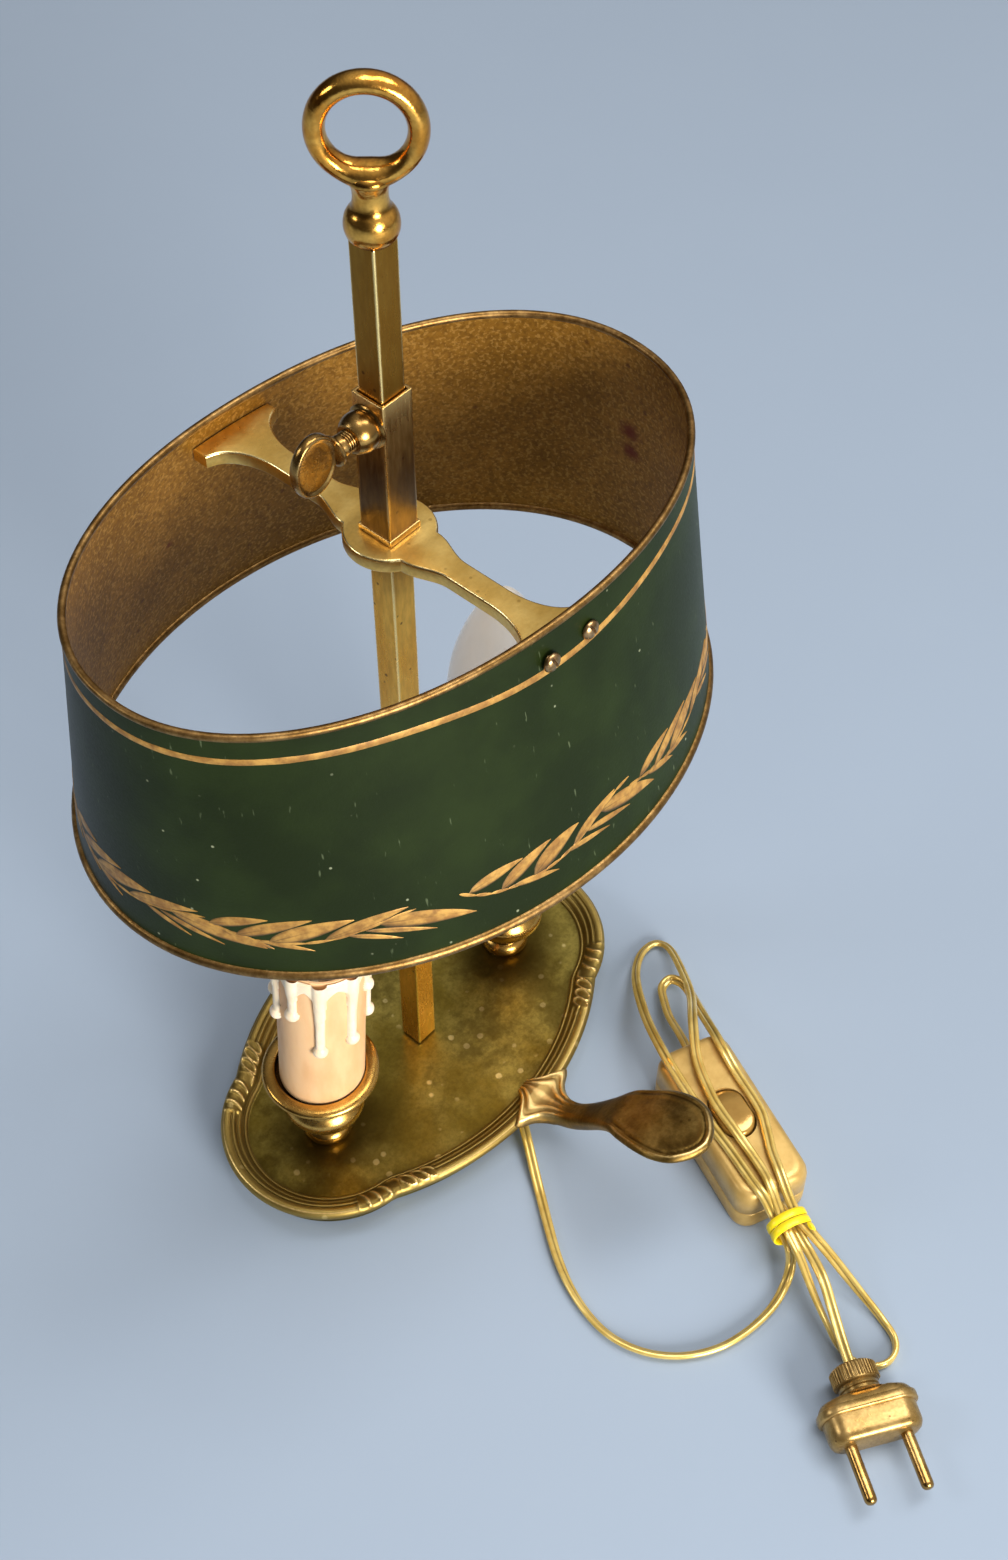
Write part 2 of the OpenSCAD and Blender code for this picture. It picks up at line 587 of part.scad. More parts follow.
// Slim insulating holder: a flange in the cup, and a tube round the lamp's socket
module holder() color("#e6dfcf") rotate_extrude() difference() {
    union() {
        translate([0, seat_low]) square([flange_r, 2.5]);
        translate([0, seat_low]) square([holder_r, cap_z - seat_low]);
        translate([0, seat_low]) square([holder_r - 0.7, holder_top - seat_low]);
    }
    translate([-1, seat_low + 8]) square([shell_r + shell_t + 1.05, disc_z - disc_t - seat_low - 8]);
    translate([-1, disc_z]) square([shell_r + shell_t + 1.05, holder_top - disc_z + 1]);
    translate([-1, seat_low - 1]) square([1 + nipple_hole, 20]);
    translate([-1, disc_z - 10]) square([2.6, 20]);
}
module holder_left() at_candle(-1) holder();
module holder_right() at_candle(1) holder();
module holder_shells() color(bright_brass) for (s = [-1, 1]) at_candle(s) rotate_extrude()
    difference() {
        union() {
            translate([0, disc_z]) square([shell_r + shell_t, holder_top - 1.5 - disc_z]);
        }
        translate([-1, disc_z - 1]) square([shell_r + 1, 60]);
    }
module centre_contacts() color("#c8a860") for (s = [-1, 1]) at_candle(s)
    translate([0, 0, disc_z]) cylinder(h = cap_z - disc_z, d1 = 6, d2 = 4.4);

module candle_sleeve() color("#e8c8a0") translate([0, 0, seat_low]) difference() {
    cylinder(h = sleeve_len, d = sleeve_d, $fn = 96);
    translate([0, 0, -1]) cylinder(h = sleeve_len + 2, d = sleeve_d - 2 * sleeve_wall, $fn = 96);
}
// The left sleeve leans in its cup, towards the middle of the lamp's open side
lean_to = -52;
module leaning() translate([0, 0, seat_low]) rotate(lean_to)
    translate([0.45, 0, sleeve_d / 2 * sin(sleeve_lean) + seat]) rotate([0, sleeve_lean, 0])
        rotate(-lean_to) translate([0, 0, -seat_low]) children();
module candle_sleeve_left() at_candle(-1) leaning() candle_sleeve();
module candle_sleeve_right() at_candle(1) candle_sleeve();

// Drips of wax: angle around the sleeve, and length below its top
drips = [[150, 31], [184, 22.5], [220, 39], [263, 37], [297, 18], [315, 38.5], [345, 26], [18, 33],
    [56, 24], [94, 36], [122, 28]];
module wax_drips(turn) color("#f6ecd8") rotate(turn) translate([0, 0, sleeve_top]) difference() {
    union() {
        translate([0, 0, -6]) cylinder(h = 6, r = sleeve_d / 2 + 1, $fn = 96);
        for (d = drips) rotate(d[0]) translate([sleeve_d / 2 + 0.5, 0, 0]) {
            translate([0, 0, -9]) cylinder(h = 5, r1 = 1.7, r2 = 2.2);
            translate([0, 0, 3 - d[1]]) cylinder(h = d[1] - 7, r = 1.7);
            translate([0, 0, 3 - d[1]]) sphere(r = 2.3, $fn = 24);
        }
    }
    translate([0, 0, -sleeve_len]) cylinder(h = sleeve_len + 5, r = sleeve_d / 2 + seat, $fn = 96);
    translate([0, 0, -0.6]) cylinder(h = 10, r = sleeve_d);
}
module wax_drips_left() at_candle(-1) leaning() wax_drips(0);
module wax_drips_right() at_candle(1) wax_drips(67);

cap_h = 27;
module bulb_cap() color("#b9b6aa") translate([0, 0, cap_z]) rotate_extrude() difference() {
    polygon([[0, 0], [2.4, 0], [3, 1], [5, 2], [cap_d / 2, 4.5], [cap_d / 2, cap_h - 6],
        [cap_d / 2 + 1.4, cap_h], [0, cap_h]]);
    translate([-1, 4]) square([cap_d / 2 - 0.4 + 1, cap_h]);
}
module bulb_cap_left() at_candle(-1) bulb_cap();
module bulb_cap_right() at_candle(1) bulb_cap();

// Outline of the glass above its cap: radius as a share of the bulb's, height as a share of the glass
glass_line = [[0.47, 0], [0.52, 0.05], [0.72, 0.15], [0.9, 0.26], [1, 0.4], [0.98, 0.5], [0.86, 0.64],
    [0.66, 0.78], [0.44, 0.89], [0.28, 0.955], [0.14, 0.99], [0, 1]];
glass_z = cap_z + cap_h;
glass_h = bulb_len - cap_h;
glass_t = 0.6;
function glass_points(inset) = [for (q = smooth(glass_line, 3))
    [max(0, q[0] * bulb_d / 2 - inset), inset + q[1] * (glass_h - 2 * inset)]];
module bulb_glass() color("#f2f2ee") translate([0, 0, glass_z]) rotate_extrude() difference() {
    polygon(concat([[0, 0]], glass_points(0)));
    polygon(concat([[0, -1]], [[0.47 * bulb_d / 2 - glass_t, -1]], glass_points(glass_t)));
}
module bulb_glass_left() at_candle(-1) bulb_glass();
module bulb_glass_right() at_candle(1) bulb_glass();
module filaments() color("#c8c8c0") for (s = [-1, 1]) at_candle(s) translate([0, 0, glass_z]) {
    translate([0, 0, -22.4]) cylinder(h = 24, r1 = 3, r2 = 2.4);
    cylinder(h = 20, d1 = 8, d2 = 3);
    translate([0, 0, 26]) rotate([90, 0, 0]) rotate_extrude($fn = 24) translate([5, 0]) circle(d = 0.9, $fn = 16);
    for (x = [-1, 1]) translate([x * 1, 0, 18]) rotate([0, x * 26, 0]) cylinder(h = 9, d = 0.7, $fn = 16);
}

// ---------- wires inside ----------

wire_w = cord_w - 0.2;
wire_t = cord_t - 0.1;
splice = [11, 11];
splice_at = [-2, -40];
// The way across a flat strip at point i of its route, mitred at the bends
function heading(route, i) = let(run = route[i + 1] - route[i]) run / norm(run);
function across(route, i) = let(a = heading(route, max(i - 1, 0)), b = heading(route, min(i, len(route) - 2)),
    n = [-a[1] - b[1], a[0] + b[0]]) n / (n * [-a[1], a[0]]);
module strip(route, w) polygon([for (i = [0:len(route) - 1]) route[i] + across(route, i) * w / 2,
    for (i = [len(route) - 1:-1:0]) route[i] - across(route, i) * w / 2]);
module wiring(side) color("#b8a060") {
    low = room_z + 0.1;
    start = [splice_at[0] + splice[0] / 2 + side * (wire_w / 2 + 0.4), splice_at[1] + splice[1] + 0.1];
    past = wire_t;
    translate([0, 0, low]) linear_extrude(wire_t)
        strip([start, [side * 16, -14], [side * (candle_x + past), past / 2]], wire_w);
    translate([side * candle_x - wire_t / 2, -wire_w / 2 + 0.4, low + wire_t / 2])
        cube([wire_t, wire_w - 0.8, disc_z - disc_t - low - wire_t / 2]);
}
module wiring_left() wiring(-1);
module wiring_right() wiring(1);

// ---------- cord ----------

table = cord_t / 2;
over_switch = switch_h + 0.4 + cord_t / 2;
over_rocker = switch_h + 1.8 + cord_t / 2;
// From the block under the tray, out under the rim, round a wide loop, through the tie,
// over the switch and back, round a small loop at the plug, over the switch again and into its far end
lamp_route = [[1.4, -41.2, 4.1], [-3.5, -47.8, 4.1], [-7.6, -53, 3.7], [-15.5, -62.5, 2.2], [-22, -70.5, table],
    [-29, -79, table], [-36, -88, table], [-42, -98, table], [-46, -109, table], [-47, -119, table],
    [-44.5, -129.5, table], [-38.5, -139, table], [-29.5, -146.4, table], [-19, -150.6, table],
    [-8, -152.3, table], [0.5, -151.6, 2.2], [6.2, -150, 6], [9.2, -147, 11.4], [11, -142.4, 14],
    [12.4, -138.2, 17.2], [14.4, -132.4, 21], [16.7, -126, over_switch], [21.5, -114.5, over_switch],
    [24.5, -106.5, over_switch], [28, -97.5, over_switch], [32, -88.5, over_switch], [38, -76.5, 21.2],
    [48.5, -62.5, 15], [60, -50.5, 8.5], [69.5, -43, 4], [78.5, -39.5, 1.8], [85, -41, table], [85, -47, 3],
    [75.5, -59.5, 8.6], [67, -68, 13.4], [55, -76.5, 20.4], [43, -86.5, over_switch + 0.3],
    [34.5, -97.5, over_rocker], [31, -104, over_rocker], [28, -111.5, over_rocker],
    [25, -119.5, over_switch + 0.6], [22, -126.5, over_switch + 0.3], [18.8, -132, 21.6], [15.2, -137.4, 19.4],
    [11.9, -143.1, 16.5], [6.9, -151.9, 14.6], [1.3, -162.3, 7.8], [-3.2, -170.5, 5], [-6, -176.3, 3],
    [-6.6, -181.4, 1.4], [-5.6, -186.8, table], [-1.5, -190.8, table], [3.5, -191.5, table],
    [8, -188.5, table], [11, -181.5, 2.2], [13, -172.5, 4.8], [14.4, -165, 7.6], [15.6, -157.4, 11],
    [16.3, -149.6, 14.9], [17, -145, 16.4], [19.4, -139.6, 19.2], [24.5, -132, over_switch + 0.3],
    [29.5, -125.5, over_switch], [35.1, -119.7, over_switch], [40.5, -113.2, over_switch + 0.1],
    [47.2, -99.5, over_switch], [53, -88.5, 22.4], [63.5, -74.5, 14.4], [73, -63, 6], [75, -58, 4.2],
    [74, -54.5, 3.2], [69.5, -54.5, 3], [64.5, -59, 4.4], [59.5, -64.5, 6.4], [55.5, -71, 8.2],
    [51.8, -76.7, 9.6], [49.2, -79.9, 10]];
// From the switch's near end, through the tie and into the plug
plug_route = [[20.2, -135.2, 10], [18, -139.8, 11.4], [15.3, -145.1, 12.9], [12.3, -151.6, 11.7],
    [6.6, -161.1, 12], [0.5, -169, 9.8], [-5.8, -176.6, 8.4], [-11.8, -184, 7.9]];
module cord_lamp() color("#c9b45a") flat_cord(lamp_route, 1, cord_w, cord_t, 8);
module cord_plug() color("#c9b45a") flat_cord(plug_route, 1, cord_w, cord_t, 8);
tie_at = [13.4, -144, 15];
module cord_tie() color("#f2d81e") translate(tie_at) rotate([0, 0, 60]) rotate([0, 90, 0])
    linear_extrude(5.2, center = true) difference() {
        polygon(oval(4.9, 7.2, 2.6, 36));
        polygon(oval(3.9, 6.2, 2.6, 36));
    }

// ---------- cord switch ----------

switch_at = [34, -107, 0];
switch_axis = 64;
module at_switch() translate(switch_at) rotate(switch_axis) children();
split_z = 9;
wall = 1.6;
module rounded_box(l, w, r, h) linear_extrude(h) union() {
    square([l - 2 * r, w], center = true);
    square([l, w - 2 * r], center = true);
    for (x = [-1, 1], y = [-1, 1]) translate([x * (l / 2 - r), y * (w / 2 - r)]) circle(r, $fn = 32);
}
module slot_plan(l, w) {
    square([l - w, w], center = true);
    for (x = [-1, 1]) translate([x * (l - w) / 2, 0]) circle(d = w, $fn = 32);
}
entry_w = cord_w + 0.2;
entry_t = cord_t + 0.2;
entry_off = -1.6;
module switch_base() color("#b89a58") at_switch() difference() {
    union() {
        rounded_box(switch_len - 1.4, switch_w - 1.4, 5.4, 1);
        translate([0, 0, 1]) rounded_box(switch_len, switch_w, 6, split_z - 1);
    }
    translate([0, 0, wall]) rounded_box(switch_len - 2 * wall, switch_w - 2 * wall, 5, split_z);
    for (x = [-1, 1]) translate([x * (switch_len / 2 - 8), 0, -1]) cylinder(h = 5, d = 3.2);
}
module switch_cover() color("#c2a25c") at_switch() difference() {
    union() {
        translate([0, 0, split_z]) rounded_box(switch_len, switch_w, 6, switch_h - split_z - 3);
        translate([0, 0, switch_h - 3]) rounded_box(switch_len - 2, switch_w - 2, 6, 1.6);
        translate([0, 0, switch_h - 1.4]) rounded_box(switch_len - 5, switch_w - 5, 6, 1.4);
    }
    translate([0, 0, split_z - 1]) rounded_box(switch_len - 2 * wall, switch_w - 2 * wall, 5, switch_h - split_z - 1.6);
    translate([0, 0, switch_h - 4]) linear_extrude(6) slot_plan(rocker_len + 1, rocker_w + 1);
    for (e = [[-1, 0], [1, entry_off]]) translate([e[0] * switch_len / 2, e[1], split_z + 1])
        cube([12, entry_w + 1.4, entry_t], center = true);
}
pivot_z = switch_h - 4.6;
module rocker_pin() color("#c8c0a0") at_switch() translate([0, 0, pivot_z]) rotate([90, 0, 0])
    cylinder(h = switch_w - 2 * wall - 0.1, d = 1.8, center = true);
// The rocker is pressed at its far end and stands up at its near end
module switch_rocker() color("#a8863e") at_switch() translate([0, 0, pivot_z]) rotate([0, rocker_tilt, 0])
    difference() {
        intersection() {
            translate([0, 0, -2]) linear_extrude(9) slot_plan(rocker_len, rocker_w);
            translate([0, 0, -22.4]) rotate([90, 0, 0]) cylinder(h = 30, r = 28.4, center = true, $fn = 160);
        }
        rotate([90, 0, 0]) cylinder(h = 30, d = 1.8 + 2 * fit, center = true);
    }
module switch_contacts() color("#c8a860") at_switch() for (x = [-1, 1])
    translate([x * 14, 0, wall]) {
        translate([-3, -5, 0]) cube([6, 10, 4]);
        translate([-x * 7 - 4, -1.5, 4]) cube([8 + 5, 3, 0.6]);
    }
module switch_screws() color("#b8b0a0") at_switch() for (x = [-1, 1])
    translate([x * (switch_len / 2 - 8), 0, 0.2]) cylinder(h = 6, d = 2.9);

// ---------- plug ----------

plug_at = [-11.8, -184, 7.9];
plug_axis = -127;
// Local +X runs from the cord's end to the pins' tips
module at_plug() translate(plug_at) rotate(plug_axis) children();
knurl_len = 6;
neck_len = 3.6;
lid_len = 2.8;
flange_len = 3;
body_len = 8.5;
lid_x = knurl_len + neck_len;
body_x = lid_x + lid_len + flange_len;
front_x = body_x + body_len;
module plug_slab(x, l, w, t) translate([x, 0, 0]) rotate([90, 0, 90]) linear_extrude(l) slot_plan(w, t);
module plug_body() color(bright_brass) at_plug() difference() {
    union() {
        plug_slab(body_x - flange_len, flange_len, plug_w, plug_t);
        plug_slab(body_x, body_len, plug_w - 2.4, plug_t - 2.4);
    }
    plug_slab(body_x - flange_len - 1, body_len + flange_len - 2, plug_w - 6, plug_t - 6);
    for (y = [-1, 1]) translate([0, y * pin_gap / 2, 0]) rotate([0, 90, 0]) cylinder(h = 60, d = pin_d + 0.1);
}
module plug_lid() color(bright_brass) at_plug() difference() {
    union() {
        plug_slab(lid_x, lid_len, plug_w - 3.6, plug_t - 3.6);
        translate([3, 0, 0]) rotate([0, 90, 0]) cylinder(h = lid_x - 3 + 1, d = 10);
        translate([knurl_len, 0, 0]) rotate([0, 90, 0]) cylinder(h = neck_len + 1, d = 13);
    }
    translate([-1, 0, 0]) rotate([0, 90, 0]) cylinder(h = 40, d = 6.4);
}
module plug_collar() color(brass) at_plug() difference() {
    rotate([0, 90, 0]) union() {
        cylinder(h = knurl_len, d = knurl_d - 0.9);
        teeth = 36;
        translate([0, 0, 0.5]) for (k = [0:teeth - 1]) rotate(k * 360 / teeth)
            translate([knurl_d / 2 - 0.75, -0.3, 0]) cube([0.75, 0.6, knurl_len - 1.6]);
    }
    translate([3, 0, 0]) rotate([0, 90, 0]) cylinder(h = knurl_len, d = 10.1);
    translate([-1, 0, 0]) rotate([0, 90, 0]) cylinder(h = knurl_len, d = 5.4);
}
module plug_insulator() color("#e0d8c0") at_plug() difference() {
    plug_slab(front_x - 6.2, 3.1, plug_w - 6.2, plug_t - 6.2);
    for (y = [-1, 1]) translate([0, y * pin_gap / 2, 0]) rotate([0, 90, 0]) cylinder(h = 60, d = pin_d + 0.1);
}
module plug_pins() color(brass) at_plug() for (y = [-1, 1]) translate([front_x - 7, y * pin_gap / 2, 0]) {
    rotate([0, 90, 0]) cylinder(h = 7 + pin_len - pin_d / 2, d = pin_d);
    translate([7 + pin_len - pin_d / 2, 0, 0]) sphere(d = pin_d, $fn = 32);
}

tray();
thumb_handle();
handle_screw();
base_cover();
felt_pad();
cord_bush();
splice_block();
cover_screw();
stem_bar();
stem_washer();
stem_nut();
finial();
slide_sleeve();
screw_boss();
thumbscrew();
shade_bracket();
shade_screws();
shade_band();
shade_top_bead();
shade_bottom_bead();
nipple_left();
nipple_right();
nipple_nuts();
cup_left();
cup_right();
holder_left();
holder_right();
holder_shells();
centre_contacts();
candle_sleeve_left();
candle_sleeve_right();
wax_drips_left();
wax_drips_right();
bulb_cap_left();
bulb_cap_right();
bulb_glass_left();
bulb_glass_right();
filaments();
wiring_left();
wiring_right();
cord_lamp();
cord_plug();
cord_tie();
switch_base();
switch_cover();
switch_rocker();
rocker_pin();
switch_contacts();
switch_screws();
plug_body();
plug_lid();
plug_collar();
plug_pins();
plug_insulator();
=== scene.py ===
import bisect
import math
import bmesh
import bpy
from mathutils import Matrix, Vector, noise


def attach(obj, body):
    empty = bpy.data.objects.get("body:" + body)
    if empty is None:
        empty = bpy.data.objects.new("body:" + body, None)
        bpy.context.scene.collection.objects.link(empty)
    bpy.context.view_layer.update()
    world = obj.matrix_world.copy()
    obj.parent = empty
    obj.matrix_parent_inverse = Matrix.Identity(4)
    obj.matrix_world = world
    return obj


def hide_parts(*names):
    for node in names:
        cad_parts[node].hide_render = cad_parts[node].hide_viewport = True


# The visible lamp round the solids of the frame. Shapes and the lumps of materials are in millimetres,
# and places inside materials are in metres.
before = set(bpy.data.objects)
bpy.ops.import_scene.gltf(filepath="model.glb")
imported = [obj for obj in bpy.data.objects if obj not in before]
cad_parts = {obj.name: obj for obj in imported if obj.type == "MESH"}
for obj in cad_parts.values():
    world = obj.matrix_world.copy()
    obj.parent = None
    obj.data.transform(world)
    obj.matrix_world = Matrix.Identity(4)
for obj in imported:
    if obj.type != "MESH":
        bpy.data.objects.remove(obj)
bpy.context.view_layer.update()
scene = bpy.context.scene
scene.view_settings.view_transform = "Standard"
mm = 0.001
metre = 1000
fullTurn = 2 * math.pi


# small sums that many pieces use
def mix(a, b, share):
    return a + (b - a) * share


def ease(low, high, value):
    share = min(1, max(0, (value - low) / (high - low)))
    return share * share * (3 - 2 * share)


def ball(value, centre, width):
    return math.exp(-((value - centre) / width) ** 2)


def signedPower(value, power):
    return math.copysign(abs(value) ** power, value)


def curveThrough(points, steps):
    # smooth curve through the points, with the same rule as the cord's solids
    last = len(points) - 1
    out = []
    for i in range(last):
        a, b = Vector(points[max(i - 1, 0)]), Vector(points[i])
        c, d = Vector(points[i + 1]), Vector(points[min(i + 2, last)])
        for k in range(steps):
            s = k / steps
            out.append(0.5 * (2 * b + (c - a) * s + (2 * a - 5 * b + 4 * c - d) * s ** 2
                              + (3 * b - a - 3 * c + d) * s ** 3))
    return out + [Vector(points[last])]


def headings(path):
    # direction of travel at each point of a path
    last = len(path) - 1
    return [(path[min(i + 1, last)] - path[max(i - 1, 0)]).normalized() for i in range(len(path))]


def smoothLine(line, steps):
    # a smooth profile of radius and height through a few points
    return [(max(0, r), z) for r, z in curveThrough(line, steps)]


def roundAngles(count):
    return [k * fullTurn / count for k in range(count)]


# ---- camera, floor and lights ----
print("camera, floor and lights")
# place and lens in millimetres, angles in radians
lookFrom = {"place": (-291.23, -265.75, 633.67), "yaw": 0.66475, "pitch": 0.89115, "lens": 48.68}


def addCamera():
    lens = bpy.data.cameras.new("camera")
    lens.sensor_fit = "VERTICAL"
    lens.sensor_height = 36
    lens.lens = lookFrom["lens"]
    yaw, pitch = lookFrom["yaw"], lookFrom["pitch"]
    ahead = Vector((math.cos(pitch) * math.cos(yaw), math.cos(pitch) * math.sin(yaw), -math.sin(pitch)))
    right = ahead.cross(Vector((0, 0, 1))).normalized()
    up = right.cross(ahead)
    camera = bpy.data.objects.new("camera", lens)
    turn = Matrix((right, up, -ahead)).transposed().to_4x4()
    camera.matrix_world = Matrix.Translation(Vector(lookFrom["place"]) * mm) @ turn
    scene.collection.objects.link(camera)
    scene.camera = camera


addCamera()


# ---- shader maths ----
def colour(red, green, blue):
    # a colour picked on a screen, 0 to 255, as linear light
    return tuple((v / 255 / 12.92 if v <= 10 else ((v / 255 + 0.055) / 1.055) ** 2.4)
                 for v in (red, green, blue)) + (1,)


def addNode(tree, kind, settings, sockets, out=0):
    # one node of any tree: its settings, then values or links for its sockets
    made = tree.nodes.new(kind)
    for key, value in settings.items():
        setattr(made, key, value)
    for key, value in sockets.items():
        if isinstance(value, bpy.types.NodeSocket):
            tree.links.new(value, made.inputs[key])
        else:
            made.inputs[key].default_value = value
    return made.outputs[out]


class Signal:
    # a shader socket that can be used in sums, first or last
    def __init__(self, paint, socket):
        self.paint = paint
        self.socket = socket

    def sum(self, operation, first, second):
        return self.paint.node("ShaderNodeMath", {"operation": operation}, {0: first, 1: second})

    def __add__(self, other):
        return self.sum("ADD", self, other)

    def __radd__(self, other):
        return self.sum("ADD", other, self)

    def __sub__(self, other):
        return self.sum("SUBTRACT", self, other)

    def __rsub__(self, other):
        return self.sum("SUBTRACT", other, self)

    def __mul__(self, other):
        return self.sum("MULTIPLY", self, other)

    def __rmul__(self, other):
        return self.sum("MULTIPLY", other, self)


class Paint:
    # one material, or the world, and the nodes that feed its shader
    def __init__(self, name, constants, world=False):
        self.material = (bpy.data.worlds if world else bpy.data.materials).new(name)
        self.material.use_nodes = True
        self.tree = self.material.node_tree
        self.shader = self.tree.nodes["Background" if world else "Principled BSDF"]
        for socket, value in constants.items():
            self.shader.inputs[socket].default_value = value

    def node(self, kind, settings, sockets, out=0):
        plain = {key: value.socket if isinstance(value, Signal) else value for key, value in sockets.items()}
        return Signal(self, addNode(self.tree, kind, settings, plain, out))

    def set(self, **signals):
        for name, value in signals.items():
            self.tree.links.new(value.socket, self.shader.inputs[name.replace("_", " ")])

    def where(self):
        return self.node("ShaderNodeTexCoord", {}, {}, "Object")

    def stretched(self, x, y, z):
        # object coordinates, squeezed along each axis
        return self.node("ShaderNodeMapping", {}, {"Vector": self.where(), "Scale": (x, y, z)})

    def cloud(self, size, detail=3, rough=0.55, vector=None):
        # soft noise whose lumps measure size millimetres
        return self.node("ShaderNodeTexNoise", {}, {"Vector": vector or self.where(), "Scale": metre / size,
                                                    "Detail": detail, "Roughness": rough}, "Fac")

    def cells(self, size):
        return self.node("ShaderNodeTexVoronoi", {}, {"Vector": self.where(), "Scale": metre / size},
                         "Distance")

    def step(self, value, low, high):
        return self.node("ShaderNodeMapRange", {"interpolation_type": "SMOOTHSTEP"},
                         {"Value": value, "From Min": low, "From Max": high})

    def mix(self, share, first, second):
        # a plain colour is given as it is picked on a screen, or as linear light with four numbers
        first, second = (colour(*v) if isinstance(v, tuple) and len(v) == 3 else v for v in (first, second))
        return self.node("ShaderNodeMix", {"data_type": "RGBA"}, {0: share, 6: first, 7: second}, 2)

    def distance(self, point):
        # metres between the surface and a point of the lamp
        return self.node("ShaderNodeVectorMath", {"operation": "DISTANCE"}, {0: self.where(), 1: point},
                         "Value")

    def mark(self, name):
        return self.node("ShaderNodeAttribute", {"attribute_name": name}, {}, "Fac")

    def bump(self, height, depth, strength=1.0):
        # depth is the height of the relief in millimetres
        self.set(Normal=self.node("ShaderNodeBump", {}, {"Height": height, "Distance": depth * mm,
                                                         "Strength": strength}))


# ---- floor, world and lamps ----
stageLook = {"floor": (147, 162, 181), "patches": (143, 158, 178), "patchSize": 60, "radius": 4,
             "dim": (52, 47, 42), "bright": (208, 203, 196), "brightSide": (0.4, -0.35, 0.85),
             "aim": (0, 0, 0.15)}
lamps = {"keyLamp": {"place": (0.95, -0.5, 2.1), "size": 1.0, "power": 18, "tint": (1, 0.99, 0.97)},
         "topLamp": {"place": (0.12, -0.12, 2.2), "size": 0.9, "power": 12, "tint": (1, 0.98, 0.96)},
         "frontLamp": {"place": (-0.55, -1.55, 0.62), "size": 0.8, "power": 46, "tint": (1, 0.96, 0.9)},
         "backLamp": {"place": (-1.2, 1.3, 1.4), "size": 0.6, "power": 7, "tint": (1, 1, 1)}}


def addStage():
    mesh = bpy.data.meshes.new("floor")
    bm = bmesh.new()
    bmesh.ops.create_circle(bm, cap_ends=True, segments=96, radius=stageLook["radius"])
    bm.to_mesh(mesh)
    bm.free()
    floor = bpy.data.objects.new("floor", mesh)
    scene.collection.objects.link(floor)
    paint = Paint("floorPaper", {"Roughness": 0.9})
    paint.set(Base_Color=paint.mix(paint.cloud(stageLook["patchSize"], 5) * 0.5, stageLook["floor"],
                                   stageLook["patches"]))
    floor.data.materials.append(paint.material)
    # the room is brighter on one side, and looks like the floor where the camera sees it
    world = Paint("studio", {"Strength": 1}, world=True)
    facing = world.node("ShaderNodeTexCoord", {}, {}, "Generated")
    toLight = world.node("ShaderNodeVectorMath", {"operation": "DOT_PRODUCT"},
                         {0: facing, 1: stageLook["brightSide"]}, "Value")
    room = world.mix(world.step(toLight, 0.1, 0.95), stageLook["dim"], stageLook["bright"])
    seen = world.node("ShaderNodeLightPath", {}, {}, "Is Camera Ray")
    world.set(Color=world.mix(seen, room, stageLook["floor"]))
    scene.world = world.material


def addLamp(name, look):
    light = bpy.data.lights.new(name, "AREA")
    light.shape = "DISK"
    light.size = look["size"]
    light.energy = look["power"]
    light.color = look["tint"]
    lamp = bpy.data.objects.new(name, light)
    lamp.location = look["place"]
    toward = Vector(stageLook["aim"]) - Vector(look["place"])
    lamp.rotation_euler = toward.to_track_quat("-Z", "Y").to_euler()
    scene.collection.objects.link(lamp)


addStage()
for name, look in lamps.items():
    addLamp(name, look)


# ---- finishes ----
print("finishes")


def brassPaint(name, look):
    # old brass: mottled tone, dark hollows and some painted shade, bright worn edges and some painted
    # highlight, small pale and dark specks
    paint = Paint(name, {"Metallic": look.get("metallic", 1)})
    grain = paint.stretched(*look.get("grain", (1, 1, 1)))
    mottle = paint.cloud(look.get("mottle", 16), 5, 0.6, grain)
    fine = paint.cloud(1.3, 3, 0.6, grain)
    tone = paint.mix(paint.step(mottle, 0.36, 0.66), look["low"], look["high"])
    tone = paint.mix(paint.step(fine, 0.3, 0.75) * look.get("fine", 0.35), tone, look["dark"])
    specks = paint.step(paint.cells(look.get("speckSize", 5)), 0.13, 0.07) * look.get("specks", 0.5)
    tone = paint.mix(specks, tone, look["dark"])
    if "darkAbove" in look:
        # darker from a height in metres upwards
        start, full, share = look["darkAbove"]
        high = paint.node("ShaderNodeSeparateXYZ", {}, {0: paint.where()}, "Z")
        tone = paint.mix(paint.step(high + mottle * 0.02, start, full) * share, tone, look["dark"])
    if "pale" in look:
        # pale specks, and painted shade round and under the foot of each candle cup
        pale = paint.step(paint.cells(6.5) + fine * 0.08, 0.25, 0.17)
        pale = pale * paint.step(paint.cloud(22, 2), 0.44, 0.54)
        tone = paint.mix(pale * 0.95, tone, look["pale"])
        for foot in look["cupFeet"]:
            away = paint.distance(foot)
            tone = paint.mix(paint.step(away + mottle * 0.014, 0.036, 0.018) * 0.85, tone, look["dark"])
    rough = look["rough"]
    if "rim" in look:
        rim = paint.mark("rim")
        patches = paint.step(paint.cloud(30, 6, 0.68), 0.5, 0.64) * (1 - rim)
        tone = paint.mix(rim * 0.6, paint.mix(patches * 0.6, tone, look["dark"]), look["rim"])
        rough = rough + rim * 0.1
    # dark hollows, and painted shade at the top of the tray's skirt under the rim
    tone = paint.mix(paint.step(paint.mark("hollow"), 0, 1), tone, look["dark"])
    # bright worn edges; on the stem, slide and bracket this is also a painted highlight along the edges
    worn = paint.step(paint.mark("worn") + (fine - 0.5) * 0.5, 0.35, 0.95)
    tone = paint.mix(worn, tone, look["bright"])
    paint.set(Base_Color=tone, Roughness=rough + (mottle - 0.5) * 0.25 + (fine - 0.5) * 0.2 - worn * 0.1)
    paint.bump(fine * 0.6 + mottle, look.get("relief", 0.06))
    return paint.material


